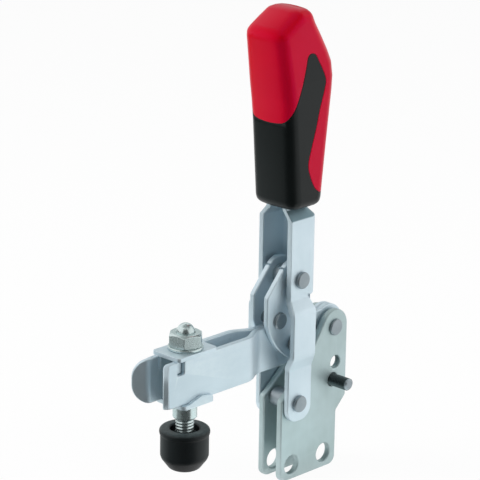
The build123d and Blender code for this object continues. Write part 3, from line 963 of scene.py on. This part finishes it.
# Shares of the half width at which a section has points, and how far the faces are crowned
SECTION_POINTS = (-1.0, -0.42, -0.14, 0.14, 0.42, 1.0)
FRONT_CROWN, REAR_CROWN = 0.95, 0.6
# Height above which the sides sag, and how far for each mm above it
SAG_START, SAG_RATE = 148.0, 0.1
# Radii of the bottom edges, the top ridge and the bends across the faces
BOTTOM_ROUND, TOP_ROUND, BEND_ROUND = 3.2, 2.0, 3.0
# Least bend, in degrees, at which an edge across the grip and an upright one are rounded
LEAST_ACROSS, LEAST_UPRIGHT = 20, 60
# Room for the handle's tang: its size, its centre's X, and its play above the tang
POCKET, POCKET_X, POCKET_PLAY = (10.4, 10.0, 60.0), -7.1, 0.1
# Edge of the soft zone on the grip's sides, from its rear bottom up and forward
SOFT_ZONE = (
    (-1.6, 93.7),
    (-4.1, 95.5),
    (-6.3, 99.3),
    (-7.6, 103.9),
    (-6.2, 109.4),
    (-4.4, 115.1),
    (-2.8, 121.4),
    (-0.8, 127.6),
    (-0.4, 131.3),
    (-3.5, 137.2),
    (-5.4, 139.8),
    (-8.2, 139.6),
    (-9.4, 135.8),
    (-11.2, 130.1),
    (-13.1, 125.4),
    (-15.4, 120.6),
    (-17.6, 117.0),
    (-19.4, 116.5),
)


def grip_half(height):
    """Half the grip's width at a height, in mm."""
    share = max(0.0, height - TAPER_LOW) / (TAPER_HIGH - TAPER_LOW)
    return GRIP_HALF - GRIP_TAPER * share


def through_line(points, steps=4):
    """Points on a smooth curve through the given ones."""
    made = []
    ends = [points[0], *points, points[-1]]
    for before, here, there, after in zip(ends, ends[1:], ends[2:], ends[3:]):
        for step in range(steps):
            t = step / steps
            made.append(
                tuple(
                    0.5
                    * (
                        2 * b
                        + (c - a) * t
                        + (2 * a - 5 * b + 4 * c - d) * t * t
                        + (3 * b - a - 3 * c + d) * t**3
                    )
                    for a, b, c, d in zip(before, here, there, after)
                )
            )
    made.append(points[-1])
    return made


def grip_section(front, rear):
    """The points of one section of the grip, its front and rear faces slightly crowned."""
    points = []
    for (x, z), crown, order in ((front, FRONT_CROWN, 1), (rear, -REAR_CROWN, -1)):
        half = grip_half(z)
        sag = SAG_RATE * max(0.0, z - SAG_START)
        for share in SECTION_POINTS[::order]:
            square = share * share
            points.append(Vector((x + crown * square, share * half, z - sag * square)) * MM)
    return points


def grip_form(name, corner):
    """The whole grip, extruded upwards section by section, with its edges rounded."""
    sections = [grip_section(front, rear) for front, rear in zip(GRIP_FRONT, GRIP_REAR)]
    piece = draw_line(name, [place / MM for place in sections[0]], closed=True)
    only(piece)
    bpy.ops.object.mode_set(mode="EDIT")
    bpy.ops.mesh.select_all(action="SELECT")
    lift = Vector((0, 0, 30 * MM))  # clear of the rest, so that each point is found
    for here, there in zip(sections, sections[1:]):
        bpy.ops.mesh.extrude_region_move(TRANSFORM_OT_translate={"value": lift})
        for old, new in zip(here, there):
            raised = old + lift
            select_where("VERT", lambda v: (v.co - raised).length < 1e-6)
            bpy.ops.transform.translate(value=new - raised)
        select_where(
            "FACE", lambda f: all(any((v.co - c).length < 1e-6 for c in there) for v in f.verts)
        )
    tidy_shell()
    weigh_grip_edges(corner)
    bpy.ops.object.mode_set(mode="OBJECT")
    apply_modifier(
        piece,
        "BEVEL",
        width=corner,
        segments=7,
        limit_method="WEIGHT",
        use_clamp_overlap=False,
        loop_slide=False,
    )
    return piece


def weigh_grip_edges(corner):
    """In edit mode: shares of the corner radius on the grip's upright, top and bottom edges."""
    mesh = bmesh.from_edit_mesh(bpy.context.object.data)
    layer = mesh.edges.layers.float.get("bevel_weight_edge") or mesh.edges.layers.float.new(
        "bevel_weight_edge"
    )
    low, ridge = GRIP_FRONT[0][1] * MM, GRIP_REAR[-1][1] * MM
    for edge in mesh.edges:
        first, second = (v.co for v in edge.verts)
        across = abs(first.y - second.y) > 2 * MM
        slope = edge.calc_face_angle(0.0)
        if max(first.z, second.z) < low + 0.1 * MM:
            edge[layer] = BOTTOM_ROUND * MM / corner
        elif across and slope > math.radians(LEAST_ACROSS):
            top = min(first.z, second.z) > ridge - 1.3 * MM
            edge[layer] = (TOP_ROUND if top else BEND_ROUND) * MM / corner
        elif not across and slope > math.radians(LEAST_UPRIGHT):
            edge[layer] = 1.0
    bmesh.update_edit_mesh(bpy.context.object.data)


def soft_zone_block(name):
    """A block across the grip with the outline of its soft zone."""
    half = 14.0  # more than half the grip's width
    outline = [(-24.0, 116.5), (-24.0, 80.0), (8.0, 80.0), (8.0, 93.6)]
    outline += through_line(SOFT_ZONE)
    piece = draw_line(name, [(x, -half, z) for x, z in outline], closed=True)
    only(piece)
    bpy.ops.object.mode_set(mode="EDIT")
    bpy.ops.mesh.select_all(action="SELECT")
    bpy.ops.mesh.extrude_region_move(TRANSFORM_OT_translate={"value": (0, 2 * half * MM, 0)})
    bpy.ops.mesh.select_all(action="SELECT")
    bpy.ops.mesh.normals_make_consistent(inside=False)
    bpy.ops.object.mode_set(mode="OBJECT")
    return piece


def tang_pocket(name):
    """The room inside the grip that the handle's tang fills."""
    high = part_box("handle_lever")[1]
    clear_selection()
    bpy.ops.mesh.primitive_cube_add(size=1.0)
    piece = bpy.context.object
    piece.name = name
    bpy.ops.object.mode_set(mode="EDIT")
    bpy.ops.mesh.select_all(action="SELECT")
    bpy.ops.transform.resize(value=Vector(POCKET) * MM)
    middle = high.z - (POCKET[2] / 2 - POCKET_PLAY) * MM
    bpy.ops.transform.translate(value=(POCKET_X * MM, 0, middle))
    bpy.ops.object.mode_set(mode="OBJECT")
    return piece


def cut(piece, tool, operation):
    """Cuts the piece with the tool by a boolean; the tool stays."""
    apply_modifier(piece, "BOOLEAN", object=tool, operation=operation, solver="EXACT")


def remove(*pieces):
    """Deletes helper objects."""
    clear_selection()
    for piece in pieces:
        piece.select_set(True)
    bpy.ops.object.delete()


# ------------------------------------------------------------------ operators: pieces
# Shares of the sheet edge's radius that the thicker base and the thinner saddles have
BASE_EDGE, SADDLE_EDGE = 1.4, 0.7
CAP_EDGE = 0.42 * MM


class CLAMP_OT_base_plates(bpy.types.Operator):
    """Round the cut edges of the two base plates"""

    bl_idname = "clamp.base_plates"
    bl_label = "Base plates"

    def execute(self, context):
        width = context.scene.clamp_sizes.sheet_edge * BASE_EDGE
        for side in ("left", "right"):
            part, name = f"base_plate_{side}", f"base_side_{side}"
            # The base plates wear the plating painted darker as shade
            refine(part, name, "base", "zinc_steel", "base_zinc_shaded", width)
        return {"FINISHED"}


class CLAMP_OT_arm_plates(bpy.types.Operator):
    """Round the cut edges of the clamping arm's two plates"""

    bl_idname = "clamp.arm_plates"
    bl_label = "Arm plates"

    def execute(self, context):
        width = context.scene.clamp_sizes.sheet_edge
        for side in ("left", "right"):
            part, name = f"arm_plate_{side}", f"arm_side_{side}"
            refine(part, name, "arm", "zinc_steel", "zinc_arm", width)
        return {"FINISHED"}


class CLAMP_OT_saddles(bpy.types.Operator):
    """Round the upper and lower saddle plates that hold the spindle on the arm"""

    bl_idname = "clamp.saddles"
    bl_label = "Saddle plates"

    def execute(self, context):
        width = context.scene.clamp_sizes.sheet_edge * SADDLE_EDGE
        for level in ("upper", "lower"):
            part, name = f"{level}_saddle", f"saddle_plate_{level}"
            refine(part, name, "arm", "zinc_steel", "zinc_arm", width, clamp=True)
        return {"FINISHED"}


class CLAMP_OT_links(bpy.types.Operator):
    """Round the cut edges of the two link plates"""

    bl_idname = "clamp.links"
    bl_label = "Link plates"

    def execute(self, context):
        width = context.scene.clamp_sizes.sheet_edge
        for side in ("left", "right"):
            part, name = f"link_plate_{side}", f"link_side_{side}"
            refine(part, name, "links", "zinc_steel", "zinc_plate", width)
        return {"FINISHED"}


class CLAMP_OT_handle(bpy.types.Operator):
    """Round the cut edges of the bent handle lever"""

    bl_idname = "clamp.handle"
    bl_label = "Handle lever"

    def execute(self, context):
        width = context.scene.clamp_sizes.sheet_edge
        refine("handle_lever", "handle_sheet", "handle", "zinc_steel", "zinc_plate", width)
        return {"FINISHED"}


class CLAMP_OT_rivets(bpy.types.Operator):
    """Round the formed heads of the rivets"""

    bl_idname = "clamp.rivets"
    bl_label = "Rivets"

    def execute(self, context):
        width = context.scene.clamp_sizes.turned_edge
        bodies = {
            "arm_rivet": "base",
            "handle_rivet": "handle",
            "link_top_rivet": "handle",
            "stop_rivet_left": "links",
            "stop_rivet_right": "links",
            "link_rivet_left": "links",
            "link_rivet_right": "links",
        }
        for part, body in bodies.items():
            name = f"{part}_formed"
            refine(part, name, body, "bare_steel", "rivet_steel", width, angle=28)
        return {"FINISHED"}


class CLAMP_OT_stop_pin(bpy.types.Operator):
    """Wind the thread of the stop pin and turn its two chamfered ends"""

    bl_idname = "clamp.stop_pin"
    bl_label = "Stop pin"

    def execute(self, context):
        sizes = context.scene.clamp_sizes
        x, z = STOP_PIN
        rod = thread(
            "threaded_stop_pin",
            along="Y",
            start=(x, -12.1, z),
            length=24.2,
            crest=2.12,
            pitch=sizes.stop_pitch / MM,
            depth=0.55,
            steps=24,
        )
        ends = []
        for side in (-1, 1):
            line = draw_line(
                "pin_end",
                [
                    (x, side * 11.9, z),
                    (x + 1.95, side * 11.9, z),
                    (x + 1.95, side * 12.1, z),
                    (x + 1.42, side * 12.62, z),
                    (x + 1.2, side * 12.7, z),
                    (x, side * 12.7, z),
                ],
            )
            ends.append(turn(line, (x, 0, z), (0, 1, 0), 40))
        smooth(rod, 32)
        settle(rod, "base", "bare_steel", finish("dark_thread"), "stop_pin")
        tips = join(ends, "stop_pin_ends")
        smooth(tips, 32)
        settle(tips, "base", "bare_steel", finish("rivet_steel"))
        return {"FINISHED"}


class CLAMP_OT_spindle(bpy.types.Operator):
    """Wind the spindle's thread and turn its domed top"""

    bl_idname = "clamp.spindle"
    bl_label = "Spindle"

    def execute(self, context):
        sizes = context.scene.clamp_sizes
        foot_top = 20.0
        ball = 2.96
        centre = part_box("spindle_screw")[1].z / MM - ball
        rod = thread(
            "threaded_spindle",
            along="Z",
            start=(SPINDLE_X, 0, foot_top),
            length=centre - foot_top,
            crest=2.98,
            pitch=sizes.spindle_pitch / MM,
            depth=0.22,
            steps=40,
        )
        dome = [(0, centre - 1.5), (ball, centre - 1.5)]
        for step in range(13):
            angle = math.radians(step * 90 / 12)
            dome.append((ball * math.cos(angle), centre + ball * math.sin(angle)))
        tip = turn_upright("spindle_tip", dome, 48)
        foot = [
            (0, 14.6),
            (4.2, 14.6),
            (4.55, 14.9),
            (4.55, 17.2),
            (4.2, 17.55),
            (2.9, 17.6),
            (2.9, 20.1),
            (0, 20.1),
        ]
        head = turn_upright("spindle_head", foot, 48)
        piece = join([rod, tip, head], "threaded_spindle")
        smooth(piece, 34)
        settle(piece, "spindle", "nut_steel", finish("nut_plating"), "spindle_screw")
        return {"FINISHED"}


class CLAMP_OT_spindle_fittings(bpy.types.Operator):
    """Round the nut, the washer and the collar on the spindle"""

    bl_idname = "clamp.spindle_fittings"
    bl_label = "Nut, washer and collar"

    def execute(self, context):
        width = context.scene.clamp_sizes.turned_edge
        for part in ("spindle_nut", "spindle_washer", "spindle_collar"):
            name, body = f"{part}_turned", frame["nodes"][part]["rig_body"]
            refine(part, name, body, "nut_steel", "nut_plating", width, angle=26)
        return {"FINISHED"}


class CLAMP_OT_cap(bpy.types.Operator):
    """Turn the rubber pressure cap with its lip, mouth and tapered foot"""

    bl_idname = "clamp.cap"
    bl_label = "Pressure cap"

    def execute(self, context):
        outline = [
            (0, 10.5),
            (4.1, 10.5),
            (5.15, 11.05),
            (7.4, 14.1),
            (7.8, 15.1),
            (7.8, 22.2),
            (8.15, 22.65),
            (8.15, 23.7),
            (7.5, 24.4),
            (5.0, 24.4),
            (4.7, 24.1),
            (4.7, 21.8),
            (0, 21.8),
        ]
        piece = turn_upright("pressure_cap", outline, 72)
        round_edges(piece, CAP_EDGE, segments=4, angle=20)
        smooth(piece, 50)
        settle(piece, "spindle", "cap_rubber", finish("matt_rubber"), "rubber_cap")
        return {"FINISHED"}


class CLAMP_OT_grip(bpy.types.Operator):
    """Build the grip's red body and black soft zone from one rounded form"""

    bl_idname = "clamp.grip"
    bl_label = "Grip"

    def execute(self, context):
        sizes = context.scene.clamp_sizes
        body = grip_form("grip_hard_body", sizes.grip_corner)
        soft = body.copy()
        soft.data = body.data.copy()
        soft.name = "grip_soft_zone"
        soft.data.name = "grip_soft_zone"
        context.scene.collection.objects.link(soft)
        block = soft_zone_block("soft_zone_block")
        pocket = tang_pocket("tang_pocket")
        cut(body, block, "DIFFERENCE")
        cut(soft, block, "INTERSECT")
        for piece in (body, soft):
            cut(piece, pocket, "DIFFERENCE")
            only(piece)
            bpy.ops.object.mode_set(mode="EDIT")
            tidy_shell()
            bpy.ops.mesh.select_all(action="SELECT")
            bpy.ops.mesh.dissolve_limited(angle_limit=math.radians(0.5))
            bpy.ops.object.mode_set(mode="OBJECT")
            round_edges(piece, sizes.grip_seam, 2, 48)
            smooth(piece, 46)
        remove(block, pocket)
        settle(body, "handle", "grip_red", finish("grip_red_plastic"), "grip_body")
        settle(soft, "handle", "grip_black", finish("grip_black_plastic"), "grip_soft")
        return {"FINISHED"}


class CLAMP_OT_inner_parts(bpy.types.Operator):
    """Give the bushes, washers and spacers between the plates their finish"""

    bl_idname = "clamp.inner_parts"
    bl_label = "Bushes and washers"

    def execute(self, context):
        finishes = {
            "zinc_steel": "zinc_plate",
            "bare_steel": "rivet_steel",
            "nut_steel": "nut_plating",
            "cap_rubber": "matt_rubber",
            "grip_red": "grip_red_plastic",
            "grip_black": "grip_black_plastic",
        }
        slots = {part["node"]: part["material_slot"] for part in frame["record"]["subparts"]}
        for name, made in frame["nodes"].items():
            made.data.materials.clear()
            made.data.materials.append(finish(finishes[slots[name]]))
        return {"FINISHED"}


# ------------------------------------------------------------------ operator: stage
LOW, STRIP = -4.9, -4.8  # heights just above the floor, in mm


def flat(height, *corners):
    """Corners in mm that all lie at one height."""
    return [(x, y, height) for x, y in corners]


# Cards that shape the reflections: corners in mm, and a tone from black to white
CARDS = {
    "card_front_low": (
        flat(LOW, (-58, -6), (-40, -60), (-60, -2000), (-2500, -2500), (-2500, -60)),
        0.05,
    ),
    "card_left_low": (flat(LOW, (-60, -5), (-2500, -55), (-2500, 1150), (-60, 20)), 0.2),
    "card_left_near": (
        flat(LOW, (-60, 22), (-235, 103), (-215, 205), (-100, 300), (-30, 300), (-30, 30)),
        0.85,
    ),
    "card_left_far": (
        flat(
            LOW,
            (-235, 103),
            (-2500, 1150),
            (-2500, 2500),
            (-30, 2500),
            (-30, 300),
            (-100, 300),
            (-215, 205),
        ),
        0.05,
    ),
    "card_strip": (
        flat(
            STRIP,
            (-10, -15),
            (-35, -110),
            (-35, -240),
            (40, -240),
            (110, -300),
            (190, -450),
            (290, -390),
            (190, -260),
            (80, -160),
            (35, -90),
            (30, -15),
        ),
        1.1,
    ),
    "card_front": (
        ((-310, -1551, -4), (-1560, -255, -4), (-1560, -255, 1500), (-310, -1551, 1500)),
        0.06,
    ),
    "card_back": (
        ((320, 1066, 90), (1080, 274, 90), (1080, 274, 620), (320, 1066, 620)),
        0.6,
    ),
    "card_high": (
        ((97, -1108, 860), (1074, 288, 860), (268, 155, 1260), (-54, -305, 1260)),
        0.2,
    ),
    "card_top": (flat(1350, (-700, -700), (700, -700), (700, 700), (-700, 700)), 0.35),
}
CARD_TINT = (0.92, 1.0, 1.0)
# Soft lamps: place, width and height in metres, power in watts, and colour
LAMPS = {
    "lamp_right": ((0.55, -0.75, 0.30), 0.7, 0.6, 6.1, (1.0, 1.0, 1.0)),
    "lamp_left": ((-0.69, 0.58, 0.35), 0.6, 0.6, 7.6, (1.0, 0.99, 0.98)),
    "lamp_top": ((0.0, 0.0, 1.0), 0.8, 0.8, 4.3, (1.0, 1.0, 1.0)),
}
LAMPS_AIM = (-0.02, 0.0, 0.08)
# Share of plain white in the floor that the camera and the metal see
FLOOR_WHITE = 0.94
# Strength and colour of the even light from all around
WORLD_LIGHT, WORLD_COLOUR = 0.17, (0.97, 0.99, 1.0)
# Camera: azimuth, elevation and roll in degrees, its aim and distance in metres, its lens
CAMERA_ANGLES = (-46.336, 17.868, 0.930)
CAMERA_AIM = (-0.028175, 0.000505, 0.081202)
CAMERA_DISTANCE, CAMERA_LENS = 0.85819, 202.894


def soft_lamp(name, place, width, height, power, colour):
    """A large soft lamp at a place, aimed at the clamp."""
    clear_selection()
    bpy.ops.object.light_add(type="AREA", location=place)
    lamp = bpy.context.object
    lamp.name = name
    lamp.data.name = name
    lamp.data.shape = "RECTANGLE"
    lamp.data.size = width
    lamp.data.size_y = height
    lamp.data.energy = power
    lamp.data.color = colour
    toward = Vector(LAMPS_AIM) - Vector(place)
    lamp.rotation_euler = toward.to_track_quat("-Z", "Y").to_euler()
    lamp.visible_glossy = False


def pale_floor(colour):
    """A floor that the camera and the metal see as nearly white, with the clamp's shadow on it."""
    clear_selection()
    bpy.ops.mesh.primitive_plane_add(size=12.0, location=(0, 0, FLOOR_Z * MM))
    floor = bpy.context.object
    floor.name = "studio_floor"
    floor.data.name = "studio_floor"
    bpy.ops.object.transform_apply(location=True, rotation=True, scale=True)
    material = bpy.data.materials.new("floor_paper")
    material.use_nodes = True
    tree = material.node_tree
    shader = tree.nodes["Principled BSDF"]
    shader.inputs["Base Color"].default_value = (*colour, 1)
    shader.inputs["Roughness"].default_value = 0.9
    shader.inputs["Specular IOR Level"].default_value = 0.1
    glow = node(tree, "ShaderNodeEmission", 300, 200)
    glow.inputs["Color"].default_value = (1, 1, 1, 1)
    glow.inputs["Strength"].default_value = 1.0
    blend = node(tree, "ShaderNodeMixShader", 550, 100)
    seen = background_rays(tree, FLOOR_WHITE)
    tree.links.new(seen, blend.inputs[0])
    tree.links.new(shader.outputs[0], blend.inputs[1])
    tree.links.new(glow.outputs[0], blend.inputs[2])
    tree.links.new(blend.outputs[0], tree.nodes["Material Output"].inputs[0])
    floor.data.materials.append(material)
    return floor


def background_rays(tree, share):
    """The share for rays that look at the background: camera, glossy and transmission rays."""
    rays = node(tree, "ShaderNodeLightPath", -700, 300)
    first = maths(
        tree, -450, 300, "MAXIMUM", rays.outputs["Is Camera Ray"], rays.outputs["Is Glossy Ray"]
    )
    second = maths(tree, -250, 300, "MAXIMUM", first, rays.outputs["Is Transmission Ray"])
    return maths(tree, -50, 300, "MULTIPLY", second, share)


def studio_card(name, corners, tone):
    """A toned card outside the picture, corners in mm, that only shiny surfaces see."""
    card = draw_line(name, corners, closed=True)
    material = bpy.data.materials.new(name)
    material.use_nodes = True
    tree = material.node_tree
    glow = node(tree, "ShaderNodeEmission", 0, 0)
    glow.inputs["Color"].default_value = (*(share * tone for share in CARD_TINT), 1)
    tree.links.new(glow.outputs[0], tree.nodes["Material Output"].inputs[0])
    tree.nodes.remove(tree.nodes["Principled BSDF"])
    material.cycles.emission_sampling = "NONE"
    card.data.materials.append(material)
    card.visible_camera = False
    card.visible_diffuse = False
    card.visible_shadow = False
    return card


def pale_world():
    """Even soft light, and white where the background itself is seen."""
    world = bpy.data.worlds.new("studio_world")
    world.use_nodes = True
    tree = world.node_tree
    light = tree.nodes["Background"]
    light.inputs["Color"].default_value = (*WORLD_COLOUR, 1)
    light.inputs["Strength"].default_value = WORLD_LIGHT
    white = node(tree, "ShaderNodeBackground", 0, 200)
    white.inputs["Color"].default_value = (1, 1, 1, 1)
    white.inputs["Strength"].default_value = 1.0
    blend = node(tree, "ShaderNodeMixShader", 300, 100)
    tree.links.new(background_rays(tree, 1.0), blend.inputs[0])
    tree.links.new(light.outputs[0], blend.inputs[1])
    tree.links.new(white.outputs[0], blend.inputs[2])
    tree.links.new(blend.outputs[0], tree.nodes["World Output"].inputs[0])
    bpy.context.scene.world = world


def aim_camera():
    """The product camera: a long lens, a little above the clamp, from its front left."""
    azimuth, elevation, roll = (math.radians(angle) for angle in CAMERA_ANGLES)
    back = Vector(
        (
            math.sin(azimuth) * math.cos(elevation),
            -math.cos(azimuth) * math.cos(elevation),
            math.sin(elevation),
        )
    )
    level = Vector((math.cos(azimuth), math.sin(azimuth), 0))
    rise = back.cross(level)
    right = level * math.cos(roll) + rise * math.sin(roll)
    up = rise * math.cos(roll) - level * math.sin(roll)
    clear_selection()
    bpy.ops.object.camera_add()
    camera = bpy.context.object
    camera.name = "product_camera"
    place = Matrix((right, up, back)).transposed().to_4x4()
    place.translation = Vector(CAMERA_AIM) + back * CAMERA_DISTANCE
    camera.matrix_world = place
    camera.data.sensor_fit = "HORIZONTAL"
    camera.data.sensor_width = 36.0
    camera.data.lens = CAMERA_LENS
    camera.data.clip_start = 0.05
    camera.data.clip_end = 50.0
    bpy.context.scene.camera = camera


class CLAMP_OT_stage(bpy.types.Operator):
    """Set up the pale floor, the soft lamps, the reflection cards and the camera"""

    bl_idname = "clamp.stage"
    bl_label = "Studio stage"

    def execute(self, context):
        context.scene.view_settings.view_transform = "Standard"
        floor = pale_floor(context.scene.clamp_colours.floor)
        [studio_card(name, *values) for name, values in CARDS.items()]
        for name, values in LAMPS.items():
            soft_lamp(name, *values)
        pale_world()
        aim_camera()
        return {"FINISHED"}


class CLAMP_PT_panel(bpy.types.Panel):
    """Lists the steps that build the clamp"""

    bl_label = "Toggle Clamp"
    bl_idname = "CLAMP_PT_panel"
    bl_space_type = "VIEW_3D"
    bl_region_type = "UI"
    bl_category = "Clamp"

    def draw(self, context):
        column = self.layout.column(align=True)
        for step in STEPS:
            column.operator(step.bl_idname)
        for label, group in (
            ("Sizes", context.scene.clamp_sizes),
            ("Colours", context.scene.clamp_colours),
        ):
            box = self.layout.box()
            box.label(text=label)
            for name in group.__annotations__:
                box.prop(group, name)


STEPS = (
    CLAMP_OT_base_plates,
    CLAMP_OT_arm_plates,
    CLAMP_OT_saddles,
    CLAMP_OT_links,
    CLAMP_OT_handle,
    CLAMP_OT_rivets,
    CLAMP_OT_stop_pin,
    CLAMP_OT_spindle,
    CLAMP_OT_spindle_fittings,
    CLAMP_OT_cap,
    CLAMP_OT_grip,
    CLAMP_OT_inner_parts,
    CLAMP_OT_stage,
)
CLASSES = (ClampSizes, ClampColours, *STEPS, CLAMP_PT_panel)


def register():
    """Registers the settings, the steps and the panel."""
    for made in CLASSES:
        bpy.utils.register_class(made)
    bpy.types.Scene.clamp_sizes = bpy.props.PointerProperty(type=ClampSizes)
    bpy.types.Scene.clamp_colours = bpy.props.PointerProperty(type=ClampColours)


def unregister():
    """Takes out what register put in."""
    del bpy.types.Scene.clamp_colours
    del bpy.types.Scene.clamp_sizes
    for made in reversed(CLASSES):
        bpy.utils.unregister_class(made)


def main():
    """Builds every piece and the stage."""
    register()
    bpy.ops.clamp.base_plates()
    bpy.ops.clamp.arm_plates()
    bpy.ops.clamp.saddles()
    bpy.ops.clamp.links()
    bpy.ops.clamp.handle()
    bpy.ops.clamp.rivets()
    bpy.ops.clamp.stop_pin()
    bpy.ops.clamp.spindle()
    bpy.ops.clamp.spindle_fittings()
    bpy.ops.clamp.cap()
    bpy.ops.clamp.grip()
    bpy.ops.clamp.inner_parts()
    bpy.ops.clamp.stage()


if __name__ == "__main__":
    main()
